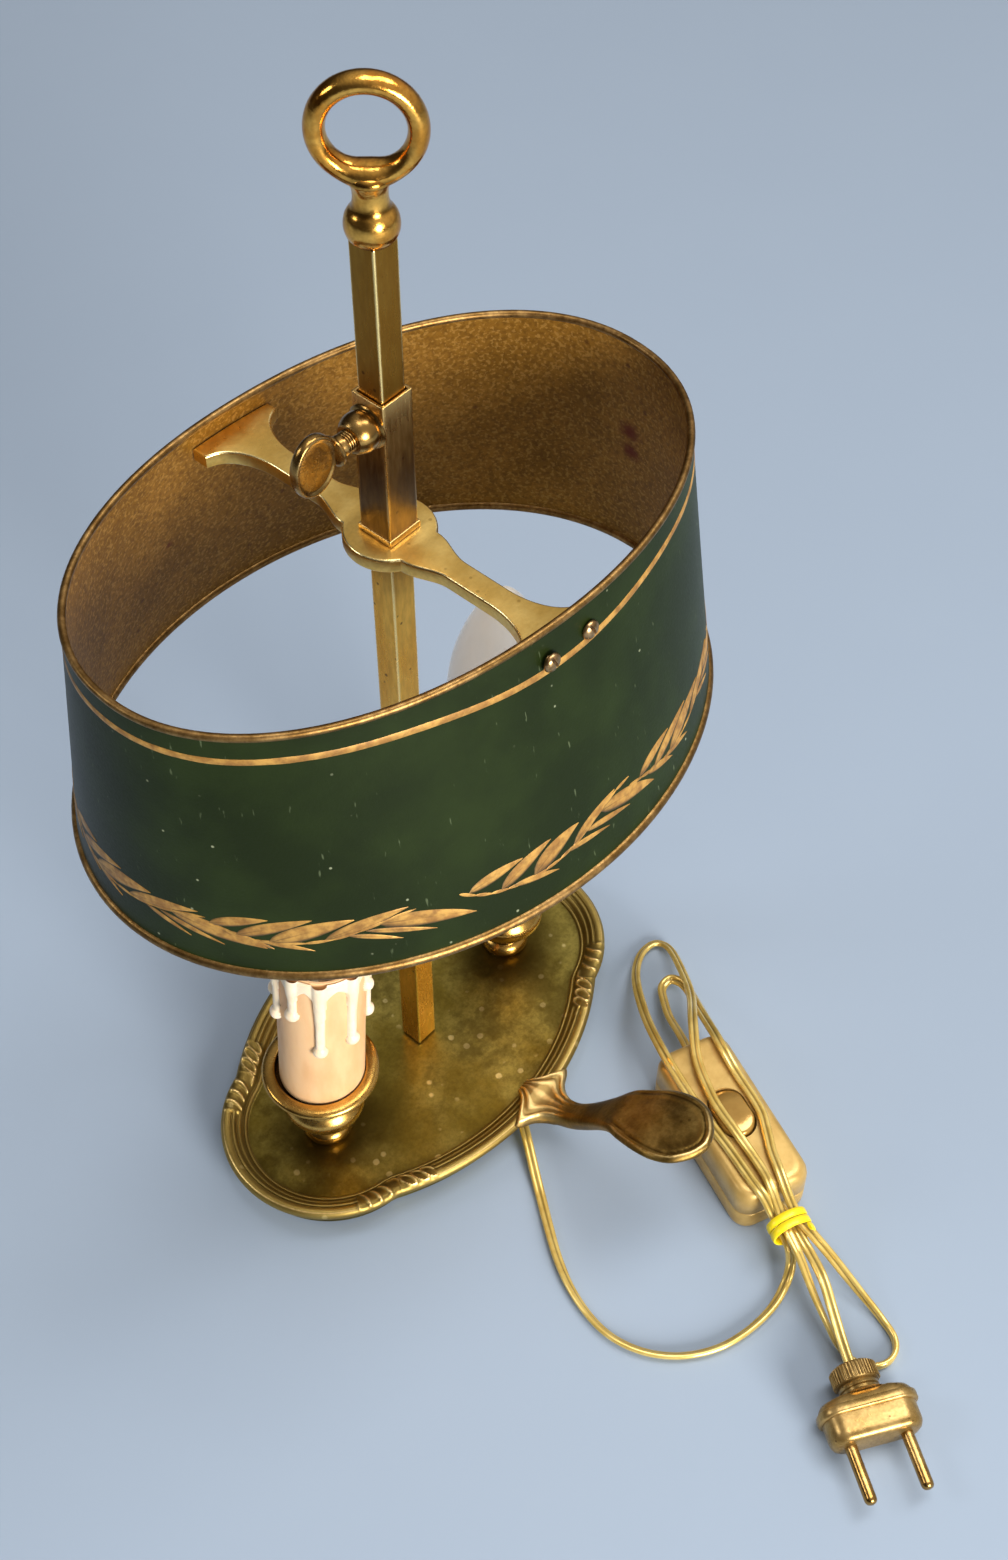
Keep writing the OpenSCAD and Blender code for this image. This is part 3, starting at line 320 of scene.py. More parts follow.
brassLooks = {
    "trayBrass": {
        "low": (134, 116, 46), "high": (172, 156, 80), "dark": (68, 54, 18), "bright": (236, 204, 136),
        "rough": 0.36, "mottle": 24, "specks": 0.15, "pale": (232, 212, 142), "rim": (166, 138, 80),
        "cupFeet": ((-0.048, 0, 0.0085), (0.048, 0, 0.0085))},
    "stemBrass": {
        "low": (234, 164, 50), "high": (250, 190, 78), "dark": (82, 50, 10), "bright": (250, 218, 144),
        "rough": 0.3, "mottle": 12, "grain": (1, 1, 0.25), "specks": 0.8, "fine": 0.22,
        "darkAbove": (0.235, 0.262, 0.72)},
    "finialBrass": {
        "low": (220, 150, 58), "high": (240, 184, 88), "dark": (104, 62, 16), "bright": (250, 220, 150),
        "rough": 0.18, "mottle": 9, "relief": 0.1},
    "slideBrass": {
        "low": (104, 74, 30), "high": (136, 102, 46), "dark": (48, 28, 8), "bright": (214, 176, 110),
        "rough": 0.36, "mottle": 8, "grain": (1, 1, 0.2)},
    "screwBrass": {
        "low": (158, 122, 66), "high": (188, 152, 92), "dark": (64, 40, 16), "bright": (242, 214, 160),
        "rough": 0.26, "mottle": 9, "fine": 0.16, "specks": 0.15},
    "bracketBrass": {
        "low": (236, 194, 104), "high": (250, 214, 128), "dark": (160, 122, 54), "bright": (254, 236, 176),
        "rough": 0.34, "mottle": 10, "fine": 0.22},
    "handleBrass": {
        "low": (122, 96, 46), "high": (150, 122, 66), "dark": (58, 42, 16), "bright": (232, 200, 134),
        "rough": 0.42, "mottle": 7, "rim": (190, 160, 100)},
    "cupBrass": {
        "low": (188, 144, 70), "high": (212, 170, 92), "dark": (60, 38, 14), "bright": (250, 222, 156),
        "rough": 0.25, "mottle": 12, "fine": 0.2, "specks": 0.2, "relief": 0.02},
    "bronzeScrew": {
        "low": (164, 128, 84), "high": (200, 166, 120), "dark": (52, 34, 18), "bright": (236, 206, 160),
        "rough": 0.3, "mottle": 3},
    "gildedBead": {
        "low": (126, 96, 52), "high": (164, 130, 80), "dark": (84, 54, 26), "bright": (226, 196, 150),
        "rough": 0.42, "mottle": 6, "fine": 0.6, "speckSize": 3},
    "plugBrass": {
        "low": (152, 122, 66), "high": (178, 148, 92), "dark": (84, 56, 24), "bright": (244, 220, 166),
        "rough": 0.3, "metallic": 0.75, "mottle": 8, "specks": 0.8, "speckSize": 3.4}}
brass = {name: brassPaint(name, look) for name, look in brassLooks.items()}


# middle and radius of each rust spot on the shade
rustSpots = [((0.0943, -0.0103, 0.223), 0.0076), ((0.0949, -0.0103, 0.2155), 0.0068),
             ((-0.0174, 0.0681, 0.217), 0.0042), ((0.03, 0.066, 0.2), 0.003)]


def lacquerPaint():
    # bottle green outside, brown gold patina inside, told apart by the mark "inside"
    paint = Paint("shadeLacquer", {"Specular IOR Level": 0.12})
    cloudy = paint.cloud(30, 5)
    fine = paint.cloud(0.9, 2)
    green = paint.mix(paint.step(cloudy, 0.35, 0.7), (22, 31, 6), (31, 42, 12))
    dust = paint.step(paint.cells(6), 0.09, 0.04) * paint.step(paint.cloud(11, 2), 0.48, 0.6)
    green = paint.mix(dust * 0.7, green, (150, 156, 126))
    streaks = {"Vector": paint.stretched(1, 0.6, 0.14), "Scale": 900.0}
    scratch = paint.node("ShaderNodeTexNoise", {}, streaks, "Fac")
    green = paint.mix(paint.step(scratch, 0.7, 0.78) * 0.35, green, (110, 122, 90))
    peel = paint.cloud(1.6, 4, 0.62)
    patina = paint.mix(paint.step(paint.cloud(34, 5), 0.3, 0.7), (122, 84, 22), (150, 106, 38))
    patina = paint.mix(paint.step(peel, 0.4, 0.66) * 0.55, patina, (86, 54, 8))
    flecks = paint.step(paint.cloud(1.1, 2, 0.5), 0.53, 0.62)
    patina = paint.mix(flecks * 0.3, patina, (206, 160, 84))
    patina = paint.mix(paint.step(paint.cells(14), 0.09, 0.03) * 0.6, patina, (70, 34, 10))
    for place, size in rustSpots:
        blot = paint.step(paint.distance(place) + paint.cloud(3, 3) * 0.004, size, size * 0.35)
        patina = paint.mix(blot * 0.9, patina, (92, 26, 2))
    inside = paint.mark("inside")
    paint.set(Base_Color=paint.mix(inside, green, patina), Metallic=inside * 0.3,
              Roughness=0.36 + fine * 0.12 + inside * 0.12)
    paint.bump(fine * (1 - inside) * 0.25 + peel * inside, 0.14)
    return paint.material


def giltPaint():
    # leaves and line painted in gold brown, darker along the mark "vein"
    paint = Paint("paintedGilt", {"Metallic": 0.35})
    blotch = paint.cloud(4, 4)
    brush = paint.cloud(2.2, 4)
    gold = paint.mix(paint.step(blotch, 0.35, 0.65), (150, 106, 46), (192, 146, 70))
    gold = paint.mix(paint.step(brush, 0.45, 0.7) * 0.4, gold, (96, 66, 28))
    gold = paint.mix(paint.step(paint.mark("vein"), 0.2, 0.9), gold, (72, 54, 26))
    paint.set(Base_Color=gold, Roughness=0.42 + brush * 0.15)
    return paint.material


def cardPaint():
    # peach candle sleeve with faint runs and a few dark pits
    paint = Paint("candleCard", {"Subsurface Weight": 0.12, "Subsurface Radius": (0.6, 0.35, 0.2),
                                 "Subsurface Scale": 0.004})
    runs = paint.cloud(7, 4, 0.55, paint.stretched(1, 1, 0.3))
    skin = paint.mix(paint.step(runs, 0.3, 0.7), (222, 172, 120), (234, 190, 140))
    pits = paint.step(paint.cells(9), 0.07, 0.035) * paint.step(paint.cloud(13, 2), 0.52, 0.6)
    paint.set(Base_Color=paint.mix(pits, skin, (84, 50, 28)), Roughness=0.48 + runs * 0.1)
    paint.bump(runs + pits * -1, 0.08)
    return paint.material


def waxPaint():
    paint = Paint("dripWax", {"Subsurface Weight": 0.2, "Subsurface Radius": (0.8, 0.5, 0.3),
                              "Subsurface Scale": 0.003, "Coat Weight": 0.2, "Coat Roughness": 0.2})
    tint = paint.cloud(5, 3)
    wax = paint.mix(paint.step(tint, 0.3, 0.7), (238, 216, 182), (246, 228, 198))
    paint.set(Base_Color=paint.mix(paint.step(paint.mark("hollow"), 0.2, 1), wax, (176, 128, 84)),
              Roughness=0.34 + tint * 0.1)
    return paint.material


def plasticPaint(name, low, high, rough, metallic=0.0, coat=0.0, relief=0.02, grain=0.8):
    # an even skin, dark along the mark "hollow", which on the cord is painted shade in its groove
    paint = Paint(name, {"Metallic": metallic, "Coat Weight": coat, "Coat Roughness": 0.12})
    fine = paint.cloud(grain, 2)
    base = paint.mix(paint.step(paint.cloud(6, 4), 0.3, 0.7), low, high)
    # darker colour for the mark "hollow": on the cord this is painted shade in the groove
    dirtAndShade = tuple(v * 0.22 for v in colour(*low)[:3]) + (1,)
    base = paint.mix(paint.mark("hollow") * 0.75, base, dirtAndShade)
    paint.set(Base_Color=base, Roughness=rough + (fine - 0.5) * 0.16)
    paint.bump(fine, relief)
    return paint.material


def feltPaint():
    paint = Paint("feltCloth", {"Sheen Weight": 0.4, "Roughness": 0.95})
    fibre = paint.cloud(0.7, 4, 0.7)
    paint.set(Base_Color=paint.mix(paint.step(fibre, 0.3, 0.7), (34, 62, 42), (58, 94, 64)))
    paint.bump(fibre, 0.2)
    return paint.material


def glassPaint(name, tint, rough, milky):
    # glass of the bulbs, with a milky share that keeps it readable, and a faint painted glow though the bulbs
    # are off
    paint = Paint(name, {"IOR": 1.45, "Transmission Weight": 1 - milky, "Roughness": rough,
                         "Emission Color": colour(255, 250, 240), "Emission Strength": 0.1})
    haze = paint.cloud(16, 2)
    paint.set(Base_Color=paint.mix(paint.step(haze, 0.2, 0.8), tint, (244, 240, 232)))
    return paint.material


finish = {
    "lacquer": lacquerPaint(), "gilt": giltPaint(), "card": cardPaint(), "wax": waxPaint(),
    "felt": feltPaint(), "glass": glassPaint("bulbGlass", (236, 232, 224), rough=0.1, milky=0.84),
    "fibre": plasticPaint("blackFibre", (38, 30, 22), (56, 46, 34), rough=0.6),
    "ivory": plasticPaint("ivoryPlastic", (214, 204, 176), (228, 218, 192), rough=0.45),
    "steel": plasticPaint("platedCap", (168, 164, 152), (190, 186, 174), rough=0.32, metallic=1.0),
    "cord": plasticPaint("goldCord", (214, 180, 88), (236, 206, 118), rough=0.22, metallic=0.55, coat=0.8,
                         relief=0.01),
    "tie": plasticPaint("yellowTie", (240, 212, 6), (246, 224, 24), rough=0.4, coat=0.2),
    "switch": plasticPaint("goldPlastic", (190, 154, 84), (208, 174, 104), rough=0.38, metallic=0.5, coat=0.2,
                           relief=0.03, grain=1.4),
    "rocker": plasticPaint("goldRocker", (164, 124, 54), (182, 142, 68), rough=0.18, metallic=0.5, coat=0.6),
    "mount": plasticPaint("mountMetal", (140, 140, 136), (170, 170, 166), rough=0.3, metallic=1.0)}


# ---- mesh helpers ----
corners = ((1, 1, 0), (-1, 1, 90), (-1, -1, 180), (1, -1, 270))
joinDistance = 1e-6


def addMark(mesh, key, values):
    mesh.attributes.new(key, "FLOAT", "POINT").data.foreach_set("value", values)


def meshFrom(name, points, faces, marks=None):
    # points in millimetres; marks are numbers kept on each point for the finish
    mesh = bpy.data.meshes.new(name)
    mesh.from_pydata([Vector(p) * mm for p in points], [], faces)
    for key, values in (marks or {}).items():
        addMark(mesh, key, values)
    return mesh


def shapeOf(mesh, place=lambda p: p):
    # a mesh as points in millimetres and faces
    return [place(v.co / mm) for v in mesh.vertices], [tuple(p.vertices) for p in mesh.polygons]


def mend(mesh):
    # joins points that coincide and turns every face outwards
    bm = bmesh.new()
    bm.from_mesh(mesh)
    bmesh.ops.remove_doubles(bm, verts=bm.verts, dist=joinDistance)
    bmesh.ops.recalc_face_normals(bm, faces=bm.faces)
    bm.to_mesh(mesh)
    bm.free()


def addPiece(mesh, name, body, material, nodes=(), sharp=40):
    mend(mesh)
    mesh.polygons.foreach_set("use_smooth", [True] * len(mesh.polygons))
    mesh.set_sharp_from_angle(angle=math.radians(sharp))
    mesh.materials.clear()
    mesh.materials.append(material)
    piece = bpy.data.objects.new(name, mesh)
    scene.collection.objects.link(piece)
    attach(piece, body)
    if nodes:
        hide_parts(*nodes)
    return piece


def addShape(shape, name, body, material, nodes=(), sharp=40, marks=None):
    # a piece from points and faces in millimetres
    return addPiece(meshFrom(name, *shape, marks), name, body, material, nodes, sharp)


def skin(rings, loop=False):
    # points and faces of a surface through rings of equal count, closed at both ends unless it loops
    count = len(rings[0])
    points = [p for ring in rings for p in ring]
    faces = []
    for k in range(len(rings) - (0 if loop else 1)):
        low, high = k * count, (k + 1) % len(rings) * count
        for i in range(count):
            j = (i + 1) % count
            faces.append((low + i, low + j, high + j, high + i))
    if not loop:
        faces += [tuple(range(count))[::-1], tuple(range(len(points) - count, len(points)))]
    return points, faces


def lathe(line, segments, place=lambda p: p, loop=False):
    # line holds radius and height, from the axis round to the axis or as a closed loop
    angles = roundAngles(segments)
    rings = [[place(Vector((r * math.cos(a), r * math.sin(a), z))) for a in angles] for r, z in line]
    return skin(rings, loop)


def joined(parts):
    # several lists of points and faces as one
    points, faces = [], []
    for somePoints, someFaces in parts:
        start = len(points)
        points += somePoints
        faces += [tuple(v + start for v in face) for face in someFaces]
    return points, faces


def turned(angle, point):
    c, s = math.cos(angle), math.sin(angle)
    return Vector((point[0] * c - point[1] * s, point[0] * s + point[1] * c, point[2]))


def arc(x, y, radius, first, last, steps):
    return [(x + radius * math.cos(math.radians(mix(first, last, k / steps))),
             y + radius * math.sin(math.radians(mix(first, last, k / steps)))) for k in range(steps + 1)]


def slab(outline, low, high, bevel, hole=None, steps=3, place=lambda p: p):
    # an upright slab on an outline in plan, with both edges rounded, and a hole through it
    def inward(line, by):
        out = []
        for i, point in enumerate(line):
            before, after = Vector(line[i - 1]), Vector(line[(i + 1) % len(line)])
            along = (after - before).normalized()
            out.append(Vector(point) + Vector((-along[1], along[0])) * by)
        return out

    def wall(line, outwards):
        levels = [(bevel * (1 - math.sin(a)), low + bevel * (1 - math.cos(a)))
                  for a in [k * math.pi / 2 / steps for k in range(steps + 1)]]
        levels += [(inset, high + low - z) for inset, z in levels[::-1]]
        return [[place(Vector((q[0], q[1], z))) for q in inward(line, inset * outwards)]
                for inset, z in levels]

    if hole is None:
        return skin(wall(outline, 1))
    outer, inner = skin(wall(outline, 1)), skin(wall(hole, -1))
    # both walls without their flat ends
    points, faces = joined([(wallPoints, wallFaces[:-2]) for wallPoints, wallFaces in (outer, inner)])
    start, n, m = len(outer[0]), len(outline), len(hole)
    # bridge the flat bottom and top between outline and hole by matching shares of the way round
    for a, b in ((0, start), (start - n, len(points) - m)):
        i = j = 0
        while i < n or j < m:
            if j >= m or (i < n and (i + 1) / n <= (j + 1) / m):
                faces.append((a + i % n, a + (i + 1) % n, b + j % m))
                i += 1
            else:
                faces.append((a + i % n, b + (j + 1) % m, b + j % m))
                j += 1
    return points, faces


def roundedBox(length, width, corner, steps=6):
    # outline in plan of a rounded rectangle, anticlockwise
    out = []
    for x, y, first in corners:
        out += arc(x * (length / 2 - corner), y * (width / 2 - corner), corner, first, first + 90, steps)
    return out


def hostFor(name, data):
    host = bpy.data.objects.new(name, data)
    scene.collection.objects.link(host)
    return host


def asMesh(host):
    # what the host looks like after its modifiers, as a plain mesh; the host goes
    mesh = bpy.data.meshes.new_from_object(host.evaluated_get(bpy.context.evaluated_depsgraph_get()))
    bpy.data.objects.remove(host)
    return mesh


def nodesPiece(name, mesh, tree, values):
    # runs a geometry nodes tree on a mesh
    host = hostFor(name + "Host", mesh)
    modifier = host.modifiers.new("nodes", "NODES")
    modifier.node_group = tree
    for item in tree.interface.items_tree:
        if item.item_type == "SOCKET" and item.in_out == "INPUT" and item.name in values:
            modifier[item.identifier] = values[item.name]
    return asMesh(host)


def cutBy(mesh, cutter):
    # takes the cutter's shape out of a mesh
    mend(mesh)
    mend(cutter)
    host, tool = hostFor("cutHost", mesh), hostFor("cutTool", cutter)
    modifier = host.modifiers.new("cut", "BOOLEAN")
    modifier.object = tool
    modifier.solver = "EXACT"
    result = asMesh(host)
    bpy.data.objects.remove(tool)
    return result


class Tree:
    # a geometry nodes tree with named inputs
    def __init__(self, name, inputs):
        self.tree = bpy.data.node_groups.new(name, "GeometryNodeTree")
        face = self.tree.interface
        face.new_socket("Geometry", in_out="INPUT", socket_type="NodeSocketGeometry")
        for key, (kind, value) in inputs.items():
            face.new_socket(key, in_out="INPUT", socket_type=kind).default_value = value
        face.new_socket("Geometry", in_out="OUTPUT", socket_type="NodeSocketGeometry")
        self.inputs = self.tree.nodes.new("NodeGroupInput")
        self.output = self.tree.nodes.new("NodeGroupOutput")

    def node(self, kind, settings, sockets, out=0):
        return addNode(self.tree, kind, settings, sockets, out)

    def given(self, name):
        return self.inputs.outputs[name]

    def end(self, geometry, material):
        real = self.node("GeometryNodeRealizeInstances", {}, {0: geometry})
        painted = self.node("GeometryNodeSetMaterial", {}, {0: real, "Material": material})
        self.tree.links.new(painted, self.output.inputs[0])
        return self.tree


# ---- cords ----
print("cords")
cordSizes = {"width": 3.6, "thickness": 1.9, "exit": (-3.5, -47.8, 4.1), "stepsPerPoint": 6,
             "lobePoints": 9, "lobeOpen": 30}
switchTop = 20
# heights of the cord's middle where it lies on the table, on the switch and on its rocker
table = cordSizes["thickness"] / 2
overSwitch = switchTop + 0.4 + table
overRocker = switchTop + 1.8 + table
lampRoute = [
    (1.4, -41.2, 4.1), (-3.5, -47.8, 4.1), (-7.6, -53, 3.7), (-15.5, -62.5, 2.2), (-22, -70.5, table),
    (-29, -79, table), (-36, -88, table), (-42, -98, table), (-46, -109, table), (-47, -119, table),
    (-44.5, -129.5, table), (-38.5, -139, table), (-29.5, -146.4, table), (-19, -150.6, table),
    (-8, -152.3, table), (0.5, -151.6, 2.2), (6.2, -150, 6), (9.2, -147, 11.4), (11, -142.4, 14),
    (12.4, -138.2, 17.2), (14.4, -132.4, 21), (16.7, -126, overSwitch), (21.5, -114.5, overSwitch),
    (24.5, -106.5, overSwitch), (28, -97.5, overSwitch), (32, -88.5, overSwitch), (38, -76.5, 21.2),
    (48.5, -62.5, 15), (60, -50.5, 8.5), (69.5, -43, 4), (78.5, -39.5, 1.8), (85, -41, table), (85, -47, 3),
    (75.5, -59.5, 8.6), (67, -68, 13.4), (55, -76.5, 20.4), (43, -86.5, overSwitch + 0.3),
    (34.5, -97.5, overRocker), (31, -104, overRocker), (28, -111.5, overRocker),
    (25, -119.5, overSwitch + 0.6), (22, -126.5, overSwitch + 0.3), (18.8, -132, 21.6),
    (15.2, -137.4, 19.4), (11.9, -143.1, 16.5), (6.9, -151.9, 14.6), (1.3, -162.3, 7.8), (-3.2, -170.5, 5),
    (-6, -176.3, 3), (-6.6, -181.4, 1.4), (-5.6, -186.8, table), (-1.5, -190.8, table),
    (3.5, -191.5, table), (8, -188.5, table), (11, -181.5, 2.2), (13, -172.5, 4.8), (14.4, -165, 7.6),
    (15.6, -157.4, 11), (16.3, -149.6, 14.9), (17, -145, 16.4), (19.4, -139.6, 19.2),
    (24.5, -132, overSwitch + 0.3), (29.5, -125.5, overSwitch), (35.1, -119.7, overSwitch),
    (40.5, -113.2, overSwitch + 0.1), (47.2, -99.5, overSwitch), (53, -88.5, 22.4), (63.5, -74.5, 14.4),
    (73, -63, 6), (75, -58, 4.2), (74, -54.5, 3.2), (69.5, -54.5, 3), (64.5, -59, 4.4), (59.5, -64.5, 6.4),
    (55.5, -71, 8.2), (51.8, -76.7, 9.6), (49.2, -79.9, 10)]
plugRoute = [(20.2, -135.2, 10), (18, -139.8, 11.4), (15.3, -145.1, 12.9), (12.3, -151.6, 11.7),
             (6.6, -161.1, 12), (0.5, -169, 9.8), (-5.8, -176.6, 8.4), (-11.8, -184, 7.9)]


# how far the flat cord rolls on its side, in degrees, at some points of the route
rolls = {"cordLamp": [(0, 0), (4, 10), (8, 48), (13, 52), (17, 10), (26, 12), (30, 38), (33, 30), (36, 0),
                      (44, 20), (47, 62), (50, 88), (54, 84), (57, 30), (60, 0), (66, 0), (70, 36), (74, 30),
                      (77, 0)],
         "cordPlug": [(0, 0), (7, 0)]}


def rollAt(name, index):
    stops = rolls[name]
    for (first, low), (last, high) in zip(stops, stops[1:]):
        if index <= last:
            return math.radians(mix(low, high, ease(first, last, index)))
    return math.radians(stops[-1][1])


def flatCord(name, route):
    # two round lobes side by side, level along the route or rolled on one side
    path = curveThrough(route, cordSizes["stepsPerPoint"])
    lobe = cordSizes["thickness"] / 2
    gap = cordSizes["width"] / 2 - lobe
    opening = cordSizes["lobeOpen"]
    section = (arc(gap, 0, lobe, opening - 180, 180 - opening, cordSizes["lobePoints"])
               + arc(-gap, 0, lobe, opening, 360 - opening, cordSizes["lobePoints"]))
    rings = []
    for i, (point, along) in enumerate(zip(path, headings(path))):
        flat = along.cross(Vector((0, 0, 1))).normalized()
        up = flat.cross(along)
        roll = rollAt(name, i / cordSizes["stepsPerPoint"])
        c, r = math.cos(roll), math.sin(roll)
        lift = max(0, gap * abs(r) - max(0, point[2] - lobe))
        rings.append([point + Vector((0, 0, lift)) + flat * (x * c - y * r) + up * (x * r + y * c)
                      for x, y in section])
    return skin(rings), path


def length(path):
    return sum((b - a).length for a, b in zip(path, path[1:]))


cordPieces, cordPaths = {}, {}
for name, route, node in (("cordLamp", lampRoute, "cord_lamp"), ("cordPlug", plugRoute, "cord_plug")):
    shape, path = flatCord(name, route)
    # the groove between the lobes is marked dark, as painted shade in the crease
    half = cordSizes["lobePoints"] + 1
    groove = [1.0 if k % half in (0, half - 1) else 0.0 for k in range(2 * half)] * len(path)
    cordPieces[name] = addShape(shape, name, "lamp", finish["cord"], [node], sharp=80,
                                marks={"hollow": groove})
    cordPaths[name] = [p * mm for p in path]

tieSizes = {"place": (13.4, -144, 15), "axis": 60, "high": 4.5, "wide": 6.8, "turns": 2.15, "pitch": 3.0,
            "start": 2.4, "points": 110, "ribbon": (1.4, 0.5), "edges": 12, "tail": 5, "tailPoints": 6,
            "tailLift": (0.25, 0.02)}


def addTie():
    # plastic covered wire wound twice round the bundle, with a short tail
    high, wide = tieSizes["high"], tieSizes["wide"]
    path = []
    for k in range(tieSizes["points"]):
        share = k / (tieSizes["points"] - 1)
        a = tieSizes["turns"] * fullTurn * share + tieSizes["start"]
        path.append(Vector(((share - 0.5) * tieSizes["turns"] * tieSizes["pitch"],
                            wide * math.cos(a), high * math.sin(a))))
    leave = (path[-1] - path[-2]).normalized() * tieSizes["tail"] / tieSizes["tailPoints"]
    sideways, upwards = tieSizes["tailLift"]
    path += [path[-1] + leave * k + Vector((sideways * k, 0, upwards * k * k))
             for k in range(1, tieSizes["tailPoints"] + 1)]
    rings = []
    for point, along in zip(path, headings(path)):
        out = Vector((0, point[1] / wide ** 2, point[2] / high ** 2)).normalized()
        side = along.cross(out).normalized()
        out = side.cross(along)
        ring = []
        for a in roundAngles(tieSizes["edges"]):
            q = point + side * tieSizes["ribbon"][0] * signedPower(math.cos(a), 0.6)
            q = q + out * tieSizes["ribbon"][1] * signedPower(math.sin(a), 0.8)
            ring.append(turned(math.radians(tieSizes["axis"]), q) + Vector(tieSizes["place"]))
        rings.append(ring)
    return addShape(skin(rings), "cordTie", "lamp", finish["tie"], ["cord_tie"])


cordTie = addTie()

# ---- tray ----
print("tray")
tray = {"lobeX": 46.2, "lobeR": 37, "sideR": 100, "halfWidth": 52, "floorZ": 8.5, "sheetZ": 6.9,
        "slopeFrom": 3.4, "rimWidth": 9.5, "edgeZ": 11, "edgeR": 2, "edgeSteps": 12, "slopeSteps": 44,
        # distance from the edge and half width of each reed, and how far they stand out
        "reeds": [(4.35, 0.62), (6.35, 0.6), (8.25, 0.55)], "reedRise": 0.62,
        # length of the ornament beside a notch, its pitch, where its loops sit and how far it stands out
        "ornament": 15, "strokes": 4.1, "loops": (4.2, 8.6, 12.2), "relief": 0.6, "crown": 13.05,
        "fineStep": 0.3, "coarseStep": 1.7,
        # distance from the edge, height and darkening: the skirt from below, darker at its top as painted
        # shade under the rim, and the underside out to it
        "skirt": ((5.4, 1.2, 0), (4.2, 1.2, 0), (4.2, 8.7, 0.4)),
        "underside": ((9.5, 6.9, 0), (6.4, 8.3, 0), (5.4, 8.3, 0)),
        "floorRings": (0.92, 0.75, 0.5, 0.25, 0.0), "sheetRings": (0.0, 0.5, 0.9)}
sideC = tray["sideR"] - tray["halfWidth"]
lobeDist = math.hypot(tray["lobeX"], sideC)
lobeIn = (tray["lobeR"] ** 2 - tray["sideR"] ** 2 + lobeDist ** 2) / (2 * lobeDist)
notchA = math.pi - math.acos(lobeIn / tray["lobeR"]) + math.atan2(sideC, tray["lobeX"])
notch = (tray["lobeX"] + tray["lobeR"] * math.cos(notchA), tray["lobeR"] * math.sin(notchA))
sideA = math.atan2(notch[0], notch[1] + sideC)


def stations(long):
    # distances along an arc, close together near both of its ends
    near = [tray["fineStep"] * (k + 0.5) for k in range(round(tray["ornament"] / tray["fineStep"]))]
    between = long - 2 * tray["ornament"]
    count = round(between / tray["coarseStep"])
    middle = [tray["ornament"] + between * (k + 0.5) / count for k in range(count)]
    return near + middle + [long - s for s in near[::-1]]


def trayEdge():
    # place, inward direction and distance to the nearest notch, below zero on the lobes, all round the tray
    places = []
    for half in (0, 1):
        arcs = ((tray["lobeR"], -notchA, notchA, tray["lobeX"], 0, -1),
                (tray["sideR"], math.pi / 2 - sideA, math.pi / 2 + sideA, 0, -sideC, 1))
        for radius, first, last, x, y, sign in arcs:
            long = radius * (last - first)
            for s in stations(long):
                a = first + s / radius
                p = turned(half * math.pi, (x + radius * math.cos(a), y + radius * math.sin(a), 0))
                places.append((p[0], p[1], a + math.pi + half * math.pi, sign * min(s, long - s)))
    return places


def reedHeight(inside):
    # height of the reeded slope over the tray's floor at a distance from the edge
    base = mix(3.4, 0.1, ease(tray["slopeFrom"], tray["rimWidth"], inside))
    return base + sum(tray["reedRise"] * math.sqrt(max(0, 1 - ((inside - at) / wide) ** 2))
                      for at, wide in tray["reeds"])


def ornamentRidge(away, inside):
    # crescent strokes on the lobe's side of a notch and slanted loops on the other side
    if away < 1.6:
        lean = -0.13 * max(0, inside - 2.6) ** 2
        phase = (away - lean) / tray["strokes"]
        return ball(phase - math.floor(phase), 0.5, 0.17) * ease(7.1, 6.5, inside)
    gaps = [abs(math.hypot((away - at + 0.55 * (inside - 3.9)) / 1.9, (inside - 3.7) / 2.9) - 1) * 2.2
            for at in tray["loops"]]
    return ball(min(gaps), 0, 0.5)


def trayRing(place):
    # section of the rim at one place: distance inwards, height, and the marks for wear and dirt
    away, edge = place[3], tray["edgeR"]
    swell = ease(tray["ornament"], tray["ornament"] - 1.6, abs(away))
    line = []
    for k in range(tray["edgeSteps"] + 1):
        a = math.radians(mix(-70, 128, k / tray["edgeSteps"]))
        line.append((edge - edge * math.cos(a), tray["edgeZ"] + edge * math.sin(a),
                     0.8 * ball(math.degrees(a), 62, 12), 0))
    for k in range(tray["slopeSteps"] + 1):
        inside = mix(tray["slopeFrom"], tray["rimWidth"], k / tray["slopeSteps"])
        crest = max(0, 1 - min(abs(inside - at) / wide for at, wide in tray["reeds"]))
        line.append((inside, tray["floorZ"] + reedHeight(inside), 0.5 * ease(0.45, 0.95, crest),
                     ease(0.2, 0, crest) * 0.4))
    ring = []
    for inside, height, worn, hollow in line:
        upper = ease(12.0, 12.8, height) if inside < edge else 1
        hold = swell * upper * ease(7.3, 6.4, inside)
        if hold > 0:
            ridge = ornamentRidge(away, inside)
            shaped = tray["crown"] - 0.095 * (inside - edge) ** 2 if inside > edge else height
            height = mix(height, shaped, hold) + tray["relief"] * ridge * hold
            worn = mix(worn, 0.9 * ridge, hold)
            hollow = mix(hollow, 0.45 * ease(0.35, 0.0, ridge), hold)
        ring.append((inside, height, worn, hollow))
    return ring


